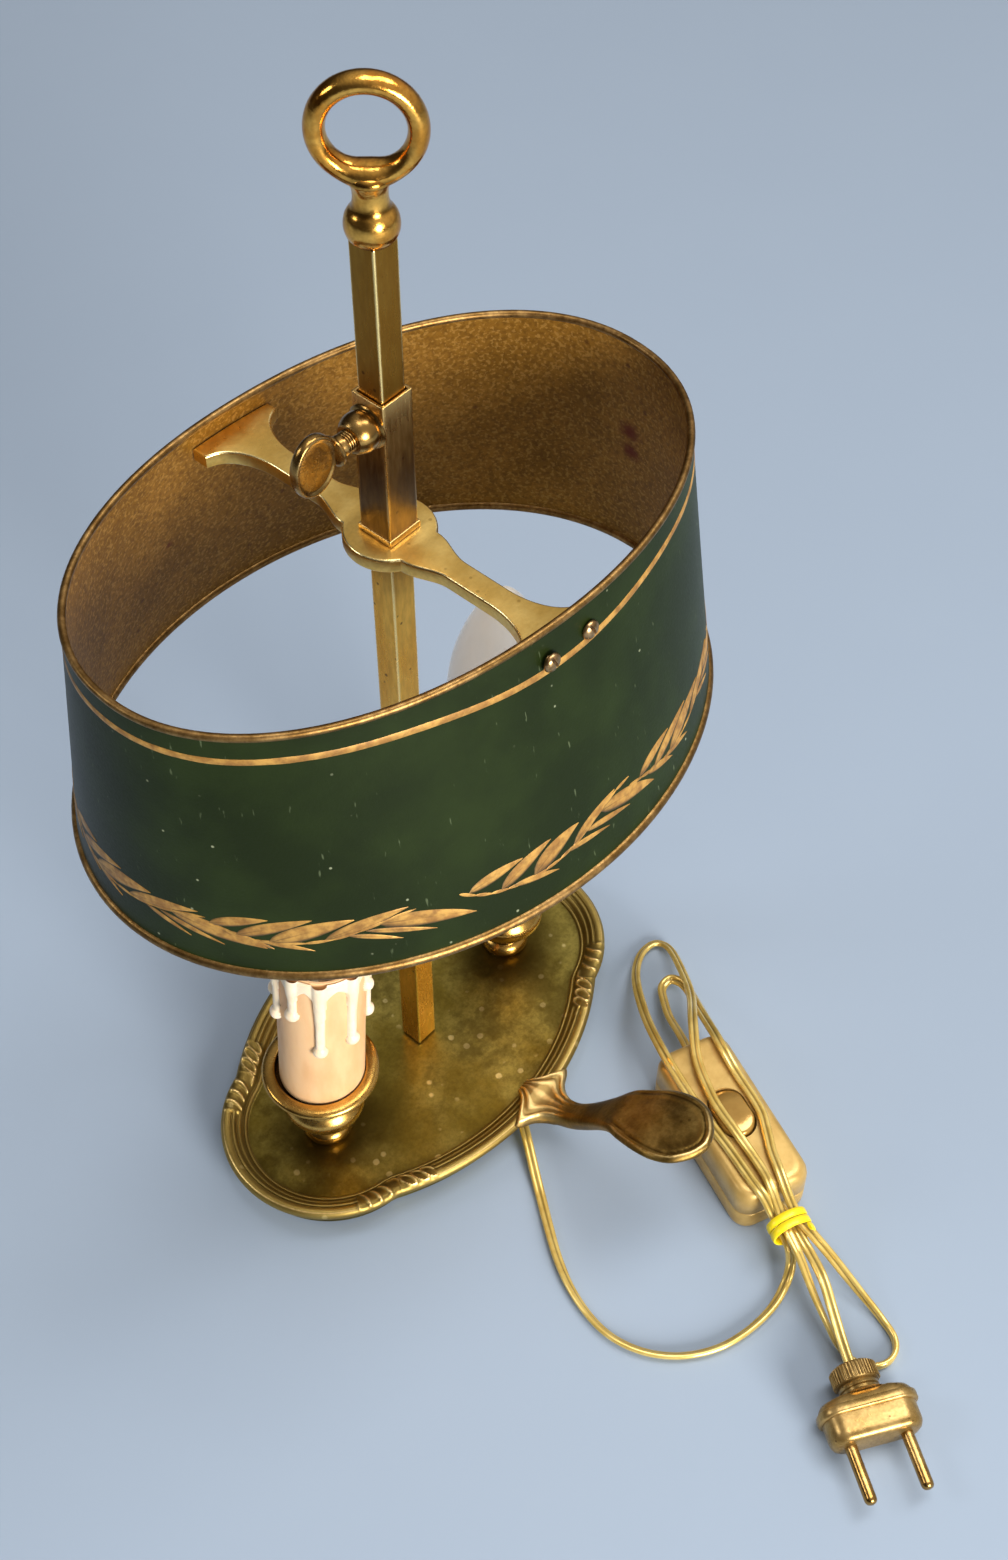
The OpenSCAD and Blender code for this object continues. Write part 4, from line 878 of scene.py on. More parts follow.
def trayShape():
    places = trayEdge()
    count = len(places)
    rims = [trayRing(place) for place in places]
    rings = []
    marks = {"worn": [], "hollow": [], "rim": []}

    def addLevel(values, onRim=0.0):
        ring = []
        for (x, y, inwards, _), (inside, height, wear, dirtAndShade) in zip(places, values):
            ring.append(Vector((x + inside * math.cos(inwards), y + inside * math.sin(inwards), height)))
            marks["worn"].append(wear)
            marks["hollow"].append(dirtAndShade)
            marks["rim"].append(onRim)
        rings.append(ring)

    def addFlat(shares, height):
        # level rings that shrink towards the middle or grow from it
        for share in shares:
            rings.append([Vector((p[0] * share, p[1] * share, height)) for p in rimEnd])
            for values in marks.values():
                values += [0] * count

    # the skirt's top is darkened as painted shade under the rim
    for inside, height, dirtAndShade in tray["skirt"]:
        addLevel([(inside, height, 0, dirtAndShade)] * count)
    for level in range(len(rims[0])):
        addLevel([rim[level] for rim in rims], ease(9.4, 8.4, rims[0][level][0]))
    rimEnd = rings[-1]
    addFlat(tray["floorRings"], tray["floorZ"])
    addFlat(tray["sheetRings"], tray["sheetZ"])
    for inside, height, dirtAndShade in tray["underside"]:
        addLevel([(inside, height, 0, dirtAndShade)] * count)
    return skin(rings, loop=True), marks


shape, marks = trayShape()
addShape(shape, "trayDish", "lamp", brass["trayBrass"], ["tray"], marks=marks)

# ---- thumb handle ----
print("thumb handle")
handle = {"x": 3, "count": 60, "steps": 7, "rootTo": 55, "neckTo": 60, "padFrom": 78, "blades": 2.5}
# distance from the stem, height, half width and half thickness along the handle
handleLine = [
    (43.2, 11.8, 2.6, 1.2), (45.4, 12.9, 4.4, 1.8), (47.6, 13.2, 7.4, 2.0), (49.6, 13.0, 11.6, 2.1),
    (51.0, 12.6, 14.0, 2.3), (52.4, 12.2, 12.8, 2.6), (54.2, 12.0, 9.2, 3.0), (57, 12.3, 6.5, 3.3),
    (61, 13.4, 4.9, 3.4), (66, 16.2, 4.6, 3.4), (72, 22.6, 5.2, 3.2), (78, 30.6, 6.6, 2.9),
    (84, 38.6, 9, 2.6), (89, 41.9, 11, 2.3), (96, 45.9, 13.1, 2.1), (103, 48.3, 13.5, 1.9),
    (109, 49.5, 11.5, 1.8), (113.4, 50.1, 7.1, 1.7), (115.3, 50.3, 3.6, 1.5), (116, 50.3, 0.6, 1.0)]


def padRelief(outline, out, across, top):
    # raised border and sunk middle of the thumb rest: rise, wear and dirt
    edge = min(math.hypot(out - q[0], abs(across) - q[1]) for q in outline)
    share = ease(80, 88, out) * top
    rise = 0.45 * ball(edge, 1.3, 0.9) - 0.3 * ball(edge, 2.7, 0.4) + 0.2 * ball(edge, 3.4, 0.45)
    rise -= 0.35 * ease(3.2, 5.2, edge)
    dirtAndShade = ball(edge, 2.7, 0.35) * 0.9 + 0.25 * ease(3.5, 6, edge)
    return rise * share, share * 0.9 * ball(edge, 1.2, 0.6), share * dirtAndShade


def bladeRelief(out, across, halfWide, upward):
    # leaf blades that spread over the rim: rise, wear and dirt
    share = ease(70, 56, out) * ease(0.0, 0.5, upward)
    blade = abs(math.cos(handle["blades"] * math.pi * across / max(halfWide, 1))) ** 0.7
    return (share * (blade - 0.55) * 1.2, share * ease(0.45, 0.95, blade), share * ease(0.3, 0.0, blade))


def handleShape():
    line = curveThrough(handleLine, handle["steps"])
    outline = [(s[0], max(0.2, s[2])) for s in line if s[0] > handle["padFrom"]]
    marks = {"worn": [], "hollow": [], "rim": []}
    rings = []
    for i, (out, height, halfWide, halfThick) in enumerate(line):
        before, after = line[max(i - 1, 0)], line[min(i + 1, len(line) - 1)]
        along = Vector((after[0] - before[0], after[1] - before[1])).normalized()
        if out < handle["rootTo"]:
            along = Vector((1, 0))
        square = 3.0 if out < handle["neckTo"] else 2.5
        ring = []
        for a in roundAngles(handle["count"]):
            across = halfWide * signedPower(math.cos(a), 2 / square)
            up = halfThick * signedPower(math.sin(a), 2 / square)
            if out > handle["padFrom"]:
                rise, wear, dirtAndShade = padRelief(outline, out, across, ease(0.1, 0.7, math.sin(a)))
            else:
                rise, wear, dirtAndShade = bladeRelief(out, across, halfWide, math.sin(a))
            up += rise
            ring.append(Vector((handle["x"] + across, -(out - up * along[1]), height + up * along[0])))
            marks["worn"].append(max(0.35 * ball(abs(across) / max(halfWide, 0.1), 1, 0.12), wear))
            marks["hollow"].append(dirtAndShade)
            marks["rim"].append(ease(68, 55, out) * ease(-0.3, 0.3, math.sin(a)))
        rings.append(ring)
    return skin(rings), marks


shape, marks = handleShape()
addShape(shape, "thumbHandle", "lamp", brass["handleBrass"], ["thumb_handle"], sharp=60,
         marks=marks)

# ---- stem and finial ----
print("stem and finial")
stem = {"width": 8.2, "low": 9.3, "high": 341.8, "turn": math.radians(-3.3), "corner": 0.5}


def markedCorners(mesh, turn, half, reach, low=-1e9, high=1e9):
    # marks the points near the upright corners of a square bar, and near its ends, as worn: wear and a
    # painted highlight along the edges
    values = []
    for vertex in mesh.vertices:
        p = turned(-turn, vertex.co / mm)
        near = ease(half - reach * 1.6, half - reach * 0.5, min(abs(p[0]), abs(p[1])))
        values.append(max(near, ball(p[2], low, 0.7), ball(p[2], high, 0.7)))
    addMark(mesh, "worn", values)
    return mesh


def squareBar(width, corner, low, high, bevel, hole=None):
    def outline(size, radius):
        # each corner's arc, with one more point on the flat before and after it
        out = []
        for x, y, first in corners:
            part = arc(x * (size / 2 - radius), y * (size / 2 - radius), radius, first, first + 90, 4)
            start, end = Vector(part[0]), Vector(part[-1])
            a, b = math.radians(first - 90), math.radians(first + 180)
            out += [tuple(start + Vector((math.cos(a), math.sin(a))) * radius * 2)] + part
            out += [tuple(end + Vector((math.cos(b), math.sin(b))) * radius * 2)]
        return out
    return slab(outline(width, corner), low, high, bevel, hole and outline(hole, 0.25),
                place=lambda p: turned(stem["turn"], p))


bar = meshFrom("stemBar", *squareBar(stem["width"], stem["corner"], stem["low"], stem["high"], 0.4))
addPiece(markedCorners(bar, stem["turn"], stem["width"] / 2, stem["corner"]), "stemSquareBar", "lamp",
         brass["stemBrass"], ["stem_bar"], sharp=50)

finial = {"low": 341.2, "ringZ": 369.6, "ringR": 11.35, "wire": (2.5, 3.2), "turn": math.radians(-52),
          "around": 88, "wireEdges": 24,
          # radius and height over the foot
          "post": [(0, 0), (4.4, 0), (5.2, 0.5), (6.0, 1.5), (6.5, 3.1), (6.55, 4.7), (6.2, 6.4), (5.5, 7.7),
                   (4.8, 8.6), (4.4, 9.6), (4.15, 11.2), (4.15, 12.8), (4.4, 14.2), (4.9, 15.4), (5.2, 16.4),
                   (4.6, 17.6), (2.6, 18.4), (0, 18.6)],
          # height over the foot and width of the dark hollows
          "hollows": ((0, 0.6), (9.4, 1.0), (17, 1.2))}


def finialShape():
    z = finial["low"]
    post = smoothLine([(r, z + h) for r, h in finial["post"]], 3)
    rings = []
    for a in roundAngles(finial["around"]):
        ahead = Vector((math.cos(a), 0, math.sin(a)))
        # the ring is thicker where it grows out of the neck
        foot = ball(((a - 1.5 * math.pi) + math.pi) % fullTurn - math.pi, 0, 0.42)
        thick, deep = finial["wire"][0] * (1 + 0.35 * foot), finial["wire"][1] * (1 + 0.3 * foot)
        ring = []
        for b in roundAngles(finial["wireEdges"]):
            q = ahead * (finial["ringR"] + thick * math.cos(b)) + Vector((0, deep * math.sin(b), 0))
            ring.append(turned(finial["turn"], q) + Vector((0, 0, finial["ringZ"])))
        rings.append(ring)
    points, faces = joined([lathe(post, 56), skin(rings, loop=True)])
    hollow = []
    for p in points:
        onPost = math.hypot(p[0], p[1]) < 7
        hollow.append(0.6 * max(ball(p[2], z + h, wide) for h, wide in finial["hollows"]) if onPost else 0)
    return (points, faces), {"hollow": hollow}


shape, marks = finialShape()
addShape(shape, "finialRing", "lamp", brass["finialBrass"], ["finial"], sharp=60, marks=marks)

# ---- slide, boss and thumbscrew ----
print("slide and thumbscrew")
slide = {"width": 10.5, "inner": 8.8, "low": 251.2, "high": 297.2, "corner": 0.4, "footWidth": 11.5,
         "foot": 2, "screwZ": 289.0, "boss": (5.25, 12.05, 5.5), "paddleAt": 24.25, "paddle": (9, 7),
         "paddleEdges": 72}
footTop = slide["low"] + slide["foot"]
sleeve = squareBar(slide["width"], slide["corner"], slide["low"], slide["high"], 0.2, slide["inner"])
foot = squareBar(slide["footWidth"], 0.3, slide["low"], footTop, 0.25, slide["inner"])
mesh = markedCorners(meshFrom("slide", *joined([sleeve, foot])), stem["turn"], slide["width"] / 2,
                     slide["corner"], footTop, slide["high"])
addPiece(mesh, "slideTube", "carriage", brass["slideBrass"], ["slide_sleeve"], sharp=50)


def screwSide(p):
    # from the thumbscrew's own axes, with its axis along z, to the lamp's
    return turned(stem["turn"], Vector((-p[2], p[1], p[0] + slide["screwZ"])))


def bossShape():
    low, high, radius = slide["boss"]
    line = [(2.6, low), (5.9, low), (6.1, low + 0.4), (5.7, low + 0.9), (5.0, low + 1.1)]
    line += [(p[1], p[0]) for p in arc(low + 3.0, 0, radius, 162, 47, 14)[2:]]
    line += [(3.9, high - 0.75), (4.1, high - 0.5), (4.1, high - 0.15), (3.8, high), (2.6, high)]
    return lathe(line, 56, screwSide, loop=True)


addShape(bossShape(), "screwBoss", "carriage", brass["screwBrass"], ["screw_boss"], sharp=50)


def threadTree(material):
    # rings of a fine thread, set one beside the other along the axis
    tree = Tree("threadRings", {"Rings": ("NodeSocketInt", 4), "Pitch": ("NodeSocketFloat", 0.0008),
                                "Radius": ("NodeSocketFloat", 0.0025), "Ridge": ("NodeSocketFloat", 0.0003)})
    step = tree.node("ShaderNodeCombineXYZ", {}, {"Z": tree.given("Pitch")})
    line = tree.node("GeometryNodeMeshLine", {"mode": "OFFSET"},
                     {"Count": tree.given("Rings"), "Offset": step})
    circle, wire = (tree.node("GeometryNodeCurvePrimitiveCircle", {},
                              {"Resolution": edges, "Radius": tree.given(size)})
                    for edges, size in ((40, "Radius"), (8, "Ridge")))
    ring = tree.node("GeometryNodeCurveToMesh", {}, {"Curve": circle, "Profile Curve": wire})
    placed = tree.node("GeometryNodeInstanceOnPoints", {}, {"Points": line, "Instance": ring})
    return tree.end(placed, material)


def seedMesh(name):
    # one point, for a tree that makes its own geometry
    mesh = bpy.data.meshes.new(name)
    mesh.from_pydata([(0, 0, 0)], [], [])
    return mesh


threads = nodesPiece("threads", seedMesh("threadSeed"), threadTree(brass["screwBrass"]),
                     {"Rings": 3, "Pitch": 0.00075, "Radius": 0.0026, "Ridge": 0.0003})


def screwShape():
    end = slide["boss"][1]
    line = [(0, 5), (2.5, 5), (2.5, end + 2.4), (2.9, end + 2.5), (3.0, end + 3.2), (2.6, end + 4.0),
            (2.6, end + 4.4), (3.9, end + 4.7), (4.15, end + 5.1), (4.1, end + 5.6), (3.3, end + 6.0),
            (0, end + 6.2)]
    wide, deep = slide["paddle"]
    # the paddle's face: share of its width and half its thickness, from the middle to the raised border
    levels = [(0.0, 0.85), (0.5, 0.85), (0.76, 0.9), (0.82, 1.0), (0.87, 1.28), (0.92, 1.4), (0.96, 1.25),
              (0.99, 0.75), (1, 0)]
    rings = []
    for share, height in levels + [(share, -height) for share, height in levels[-2::-1]]:
        rings.append([screwSide(Vector((wide * share * math.cos(a), height,
                                        slide["paddleAt"] + deep * share * math.sin(a))))
                      for a in roundAngles(slide["paddleEdges"])])
    rising = Vector((0, 0, end + 0.35))
    points, faces = joined([lathe(line, 48, screwSide), skin(rings),
                            shapeOf(threads, lambda p: screwSide(p + rising))])
    worn = []
    for p in points:
        q = turned(-stem["turn"], p)
        a = Vector(((q[2] - slide["screwZ"]) / wide, (-q[0] - slide["paddleAt"]) / deep))
        worn.append(0.55 * ball(a.length, 0.93, 0.05) if -q[0] > end + 6 else 0)
    return (points, faces), {"worn": worn}


shape, marks = screwShape()
addShape(shape, "thumbScrew", "thumbscrew", brass["screwBrass"], ["thumbscrew"], sharp=50,
         marks=marks)

# ---- shade ----
print("shade")
# each oval is given as half length, half width and power
shade = {"turn": math.radians(-8.5), "lowZ": 175.4, "topZ": 258.2, "low": (99.2, 76.3, 2.0),
         "top": (91.7, 58.35, 2.12), "half": 0.4, "lowBead": 1.6, "topBead": 1.1, "count": 240,
         "levels": 30, "beadCount": 300, "beadEdges": 18}


def shadePoint(a, z, out=0.0):
    # a point of the shade's sheet at angle a of its ovals, moved outwards
    share = (z - shade["lowZ"]) / (shade["topZ"] - shade["lowZ"])

    def flat(angle):
        q = [(r * signedPower(math.cos(angle), 2 / n), s * signedPower(math.sin(angle), 2 / n))
             for r, s, n in (shade["low"], shade["top"])]
        return Vector((mix(q[0][0], q[1][0], share), mix(q[0][1], q[1][1], share)))

    here = flat(a)
    along = (flat(a + 0.01) - flat(a - 0.01)).normalized()
    return turned(shade["turn"], Vector((here[0] + along[1] * out, here[1] - along[0] * out, z)))


def shadeShape():
    count, levels = shade["count"], shade["levels"]
    heights = [mix(shade["lowZ"] + 1, shade["topZ"] - 0.6, k / levels) for k in range(levels + 1)]
    angles = [(k + 0.5) * fullTurn / count for k in range(count)]
    rings = [[shadePoint(a, z, out) for a in angles]
             for out, rise in ((shade["half"], heights), (-shade["half"], heights[::-1])) for z in rise]
    inside = [0.0] * (count * len(heights)) + [1.0] * (count * len(heights))
    return skin(rings, loop=True), {"inside": inside}


shape, marks = shadeShape()
addShape(shape, "shadeSheet", "carriage", finish["lacquer"], ["shade_band"], sharp=60,
         marks=marks)


def wireTree(material):
    # a round wire along a closed path
    tree = Tree("rolledWire", {"Radius": ("NodeSocketFloat", 0.001), "Sides": ("NodeSocketInt", 16)})
    path = tree.node("GeometryNodeMeshToCurve", {}, {0: tree.given("Geometry")})
    wire = tree.node("GeometryNodeCurvePrimitiveCircle", {},
                     {"Resolution": tree.given("Sides"), "Radius": tree.given("Radius")})
    swept = tree.node("GeometryNodeCurveToMesh", {}, {"Curve": path, "Profile Curve": wire})
    return tree.end(swept, material)


def loopMesh(name, points):
    mesh = bpy.data.meshes.new(name)
    count = len(points)
    mesh.from_pydata([p * mm for p in points], [(k, (k + 1) % count) for k in range(count)], [])
    return mesh


rolledWire = wireTree(brass["gildedBead"])
for name, z, radius, node in (("shadeTopBead", shade["topZ"], shade["topBead"], "shade_top_bead"),
                              ("shadeLowBead", shade["lowZ"], shade["lowBead"], "shade_bottom_bead")):
    path = loopMesh(name, [shadePoint(a, z) for a in roundAngles(shade["beadCount"])])
    mesh = nodesPiece(name, path, rolledWire, {"Radius": radius * mm, "Sides": shade["beadEdges"]})
    addPiece(mesh, name, "carriage", brass["gildedBead"], [node], sharp=80)

# painted line and laurel
# lengths round the sheet at the garland's height, for every half degree of the oval
garlandZ = 190
arcTable = [0.0]
for k in range(720):
    a, b = (shadePoint(math.radians((k + i) / 2), garlandZ) for i in (0, 1))
    arcTable.append(arcTable[-1] + (b - a).length)
girth = arcTable[-1]


def arcAt(degrees):
    turns, rest = divmod(degrees, 360)
    k = int(rest * 2)
    return turns * girth + mix(arcTable[k], arcTable[min(k + 1, 720)], rest * 2 - k)


def degreesAt(along):
    turns, rest = divmod(along, girth)
    k = min(bisect.bisect_right(arcTable, rest) - 1, 719)
    return turns * 360 + (k + (rest - arcTable[k]) / (arcTable[k + 1] - arcTable[k])) / 2


# the line dips under the screws of both feet of the bracket
paintedLine = {"z": 250.9, "dip": 4.0, "dipAt": (271, 91), "dipWidth": 20, "half": 1.0, "count": 320,
               # share of the half width and distance from the middle of the sheet, round the line's section
               "section": ((-1, 0.38), (-0.8, 0.47), (0, 0.5), (0.8, 0.47), (1, 0.38), (0, 0.3))}


def lineShape():
    rings = []
    for k in range(paintedLine["count"]):
        a = k * 360 / paintedLine["count"]
        dip = max(ball(a, at, paintedLine["dipWidth"]) for at in paintedLine["dipAt"])
        z = paintedLine["z"] - paintedLine["dip"] * dip + 0.25 * noise.noise(Vector((a * 0.05, 3, 0)))
        half = paintedLine["half"] * (1 + 0.12 * noise.noise(Vector((a * 0.2, 0, 5))))
        rings.append([shadePoint(math.radians(a), z + half * share, out)
                      for share, out in paintedLine["section"]])
    return skin(rings, loop=True)


addShape(lineShape(), "shadeGoldLine", "carriage", finish["gilt"], sharp=70)

# each spray: its stem, then leaves as start, tip, width and bow, all as oval degrees and height
sprayOne = {
    "from": 199.5,
    "stem": [(199.5, 192.9), (205, 190.9), (210, 188.8), (215, 187.7), (222, 187.9), (227.7, 189.3),
             (235, 192.5), (239.5, 193.7)],
    "leaves": [((203, 192.2), (214.5, 196.2), 3.2, 0.5), ((208, 189.6), (222.3, 196.1), 3.6, 0.6),
               ((214, 187.9), (229.4, 194.7), 4.8, 0.8), ((224, 188.8), (238.5, 195.2), 3.4, 0.7),
               ((233, 191.8), (249.3, 185.6), 4.6, 0.9), ((228, 189.2), (236.8, 184.8), 1.6, 0.3),
               ((231, 190), (242.5, 184.9), 1.7, 0.3), ((212, 188.4), (222, 184.9), 1.8, 0.3),
               ((205.5, 190.4), (215, 185.6), 2.2, 0.3)]}
sprayTwo = {
    "from": 247,
    "stem": [(247, 193.5), (250.5, 190.2), (254, 188.4), (258.6, 187.3), (263.2, 187.3), (266.8, 188.4),
             (270.5, 190.6), (273.2, 192.9), (276.8, 195.2), (280.5, 196)],
    "leaves": [((248.6, 192.6), (258.6, 195.6), 3.2, 0.5), ((254, 188.8), (264, 196.3), 3.8, 0.7),
               ((260, 187.8), (269.5, 195.3), 5.0, 0.9), ((274, 193.2), (287.4, 186.2), 4.4, 0.9),
               ((266, 188.6), (275.5, 186.4), 1.7, 0.3), ((270.5, 190.6), (280.6, 187), 1.9, 0.3),
               ((256, 188), (264.5, 184.8), 2.0, 0.3), ((268, 189.4), (277.6, 196.4), 3.0, 0.6)]}
garland = {"starts": [199.5, 247, 281, 320, 359.5, 398.5, 438, 477.5, 517.5], "out": 0.41, "fat": 1.22,
           "steps": 12, "stemWidth": 1.0, "stemReach": 1.25,
           # across each leaf: share of the half width, height over the sheet and darkness
           "section": ((-1, 0, 0.8), (-0.6, 0.1, 0.2), (-0.12, 0.12, 0.0), (0, 0.08, 0.3), (0.12, 0.12, 0.0),
                       (0.6, 0.1, 0.0), (1, 0, 0.35), (0, -0.12, 0))}


def leaf(start, tip, width, bow):
    # a pointed leaf that lies on the shade, from its start to its tip, in millimetres along and up
    rings, vein = [], []
    base, end = Vector(start), Vector(tip)
    run = end - base
    over = Vector((-run[1], run[0])).normalized()
    for k in range(garland["steps"] + 1):
        s = k / garland["steps"]
        middle = base + run * s + over * bow * 4 * s * (1 - s)
        swell = math.sin(math.pi * s ** 0.8) ** 0.75 * (1 - 0.25 * s)
        half = max(0.03, width * garland["fat"] / 2 * swell)
        along = (run + over * bow * 4 * (1 - 2 * s)).normalized()
        across = Vector((-along[1], along[0]))
        ring = []
        for share, out, dark in garland["section"]:
            q = middle + across * half * share
            ring.append(shadePoint(math.radians(degreesAt(q[0])), q[1], garland["out"] + out))
            vein.append(min(1, dark + 0.6 * (1 - s) ** 3))
        rings.append(ring)
    return skin(rings), vein


def sprayParts(spray, start):
    # one spray, moved so that its stem starts at another angle
    shift = arcAt(start) - arcAt(spray["from"])
    parts, veins = [], []
    stemLine = curveThrough([(arcAt(a) + shift, z) for a, z in spray["stem"]], 4)
    for first, last in zip(stemLine[::3], stemLine[3::3]):
        part, vein = leaf(first, mix(first, last, garland["stemReach"]), garland["stemWidth"], 0)
        parts.append(part)
        veins += [0.1] * len(vein)
    for begin, tip, width, bow in spray["leaves"]:
        part, vein = leaf((arcAt(begin[0]) + shift, begin[1]), (arcAt(tip[0]) + shift, tip[1]), width, bow)
        parts.append(part)
        veins += vein
    return parts, veins


parts, veins = [], []
for number, start in enumerate(garland["starts"]):
    someParts, someVeins = sprayParts(sprayTwo if number % 2 else sprayOne, start)
    parts += someParts
    veins += someVeins
addShape(joined(parts), "shadeLaurel", "carriage", finish["gilt"], sharp=70,
         marks={"vein": veins})

# ---- bracket ----
print("bracket")
bracket = {"low": 246.7, "high": 251.2, "collar": 12.5, "hole": 8.8, "holeCorner": 0.2, "arm": 3.6,
           "foot": 13.2, "flare": 22, "bevel": 0.7, "gap": 0.55}


def insideShade(x, toward):
    # distance from the stem to the shade's inner face, at x across the bracket
    low, high = 30.0, 90.0
    angle = shade["turn"] - stem["turn"]
    share = (bracket["high"] - shade["lowZ"]) / (shade["topZ"] - shade["lowZ"])
    longR, wideR = (mix(shade["low"][i], shade["top"][i], share) - bracket["gap"] for i in (0, 1))
    power = mix(shade["low"][2], shade["top"][2], share)
    for _ in range(40):
        middle = (low + high) / 2
        p = turned(-angle, Vector((x, toward * middle, 0)))
        if (abs(p[0]) / longR) ** power + (abs(p[1]) / wideR) ** power < 1:
            low = middle
        else:
            high = middle
    return low


footY = insideShade(0, 1)


def armHalf(y):
    # half width of the arm: wide at the collar, narrow along the arm, flared into the foot
    if y > footY - bracket["flare"]:
        s = min(1, (y - (footY - bracket["flare"])) / 17)
        return bracket["arm"] + (bracket["foot"] - bracket["arm"]) * (1 - math.sqrt(1 - s * s))
    k = min(1, max(0, (y - (bracket["collar"] - 2)) / 13))
    return bracket["arm"] + 3.4 * (1 + math.cos(math.pi * k)) / 2


def bracketOutline():
    # anticlockwise from the right side of the collar: half the collar, an arm and its foot, twice
    meet = 0.0
    while math.hypot(armHalf(meet), meet) < bracket["collar"]:
        meet += 0.05
    side = [(armHalf(y), y) for y in [mix(meet, footY - 3.5, k / 40) for k in range(41)]]
    half = math.degrees(math.atan2(meet, armHalf(meet)))
    out = []
    for turn in (1, -1):
        out += [(turn * x, turn * y) for x, y in arc(0, 0, bracket["collar"], -half, half, 14) + side[1:]]
        for k in range(15):
            x = turn * mix(bracket["foot"], -bracket["foot"], k / 14)
            out.append((x, turn * insideShade(x, turn)))
        out += [(-turn * x, turn * y) for x, y in side[:0:-1]]
    return out


def bracketMesh():
    low, high, bevel = bracket["low"], bracket["high"], bracket["bevel"]
    curve = bpy.data.curves.new("bracketPlan", "CURVE")
    curve.dimensions = "2D"
    curve.fill_mode = "BOTH"
    for line in (bracketOutline(), roundedBox(bracket["hole"], bracket["hole"], bracket["holeCorner"], 2)):
        spline = curve.splines.new("POLY")
        spline.points.add(len(line) - 1)
        for point, q in zip(spline.points, line):
            point.co = (q[0] * mm, q[1] * mm, 0, 1)
        spline.use_cyclic_u = True
    curve.extrude = ((high - low) / 2 - bevel) * mm
    curve.bevel_depth = bevel * mm
    curve.bevel_resolution = 3
    curve.offset = -bevel * mm
    mesh = asMesh(hostFor("bracketHost", curve))
    mesh.transform(Matrix.Translation((0, 0, (low + high) / 2 * mm)) @ Matrix.Rotation(stem["turn"], 4, "Z"))
    # the rounded edges are painted bright: wear and a painted highlight along them
    worn = []
    for vertex in mesh.vertices:
        edge = abs(abs(vertex.co[2] / mm - (low + high) / 2) - (high - low) / 2)
        worn.append(0.8 if 0.02 < edge < bevel - 0.02 else 0.0)
    addMark(mesh, "worn", worn)
    return mesh


addPiece(bracketMesh(), "shadeBracket", "carriage", brass["bracketBrass"], ["shade_bracket"])

# lengths along the screw are distances from the stem's axis
shadeScrew = {"gap": 14.6, "z": 250.0, "head": 2.75, "dome": 2.0, "edge": 0.35, "shank": 1.45, "slot": 0.9,
              "depth": 1.0, "under": 61.05, "tip": 60.2}


def screwHead(x, toward):
    # a domed head with a slot, its shank pointing at the stem
    base, top, r, edge = (shadeScrew[key] for key in ("under", "dome", "head", "edge"))
    line = [(0, shadeScrew["tip"]), (shadeScrew["shank"], shadeScrew["tip"]), (shadeScrew["shank"], base),
            (r - 0.1, base), (r, base + 0.15), (r, base + edge)]
    line += [(r * math.cos(a), base + edge + (top - edge) * math.sin(a))
             for a in [k * math.pi / 20 for k in range(1, 10)]]
    line += [(0, base + top)]

    def place(p):
        return turned(stem["turn"], Vector((x * toward + p[0], p[2] * toward, p[1] + shadeScrew["z"])))

    half, cut = shadeScrew["slot"] / 2, base + top - shadeScrew["depth"]
    turn = math.radians(20 + 37 * x)
    box = [turned(turn, (u, v, w)) for w in (cut, base + top + 1)
           for u, v in ((-4, -half), (4, -half), (4, half), (-4, half))]
    boxFaces = [(0, 3, 2, 1), (4, 5, 6, 7), (0, 1, 5, 4), (1, 2, 6, 5), (2, 3, 7, 6), (3, 0, 4, 7)]
    slot = meshFrom("slot", [place(p) for p in box], boxFaces)
    return cutBy(meshFrom("head", *lathe(line, 40, place)), slot)


heads = [shapeOf(screwHead(x * shadeScrew["gap"] / 2, toward)) for toward in (-1, 1) for x in (-1, 1)]
addShape(joined(heads), "shadeScrews", "carriage", brass["bronzeScrew"], ["shade_screws"],
         sharp=50)

# ---- candles ----
print("candles")
candle = {"x": 48, "floor": 8.5, "seatLow": 44.8, "sleeveR": 13.8, "sleeveWall": 1, "sleeveTop": 115,
          "lean": math.radians(3.4), "leanTo": math.radians(-52)}
# the near sleeve leans on the cup's edge
leaning = (Matrix.Translation((-candle["x"], 0, candle["seatLow"]))
           @ Matrix.Rotation(candle["leanTo"], 4, "Z")
           @ Matrix.Translation((0.45, 0, candle["sleeveR"] * math.sin(candle["lean"]) + 0.02))
           @ Matrix.Rotation(candle["lean"], 4, "Y") @ Matrix.Rotation(-candle["leanTo"], 4, "Z")
           @ Matrix.Translation((0, 0, -candle["seatLow"])))
upright = Matrix.Translation((candle["x"], 0, 0))
# radius and height over the tray; the last three points are the straight inside
cupLine = [
    (4.05, 0), (6.0, 0), (6.9, 0.5), (7.9, 1.7), (8.3, 3.1), (7.9, 4.6), (6.9, 5.7), (6.1, 6.3), (6.1, 7.2),
    (6.1, 8.0), (5.6, 8.8), (5.6, 11), (5.8, 13.0), (7.0, 13.5), (9.2, 13.8), (11.4, 15.1), (12.9, 17.0),
    (13.4, 19.2), (13.1, 21.2), (12.1, 22.7), (11.1, 24.2), (10.7, 27.0), (10.8, 29.4), (11.6, 31.8),
    (13.4, 34.0), (15.8, 35.6), (17.6, 36.5), (18.6, 36.9), (19.0, 37.7), (18.8, 38.4), (18.1, 39.0),
    (16.6, 39.4), (15.0, 39.5), (14.6, 39.1), (14.6, 36.3), (4.05, 36.3)]


def onCandle(side):
    return lambda p: p + Vector((side * candle["x"], 0, 0))


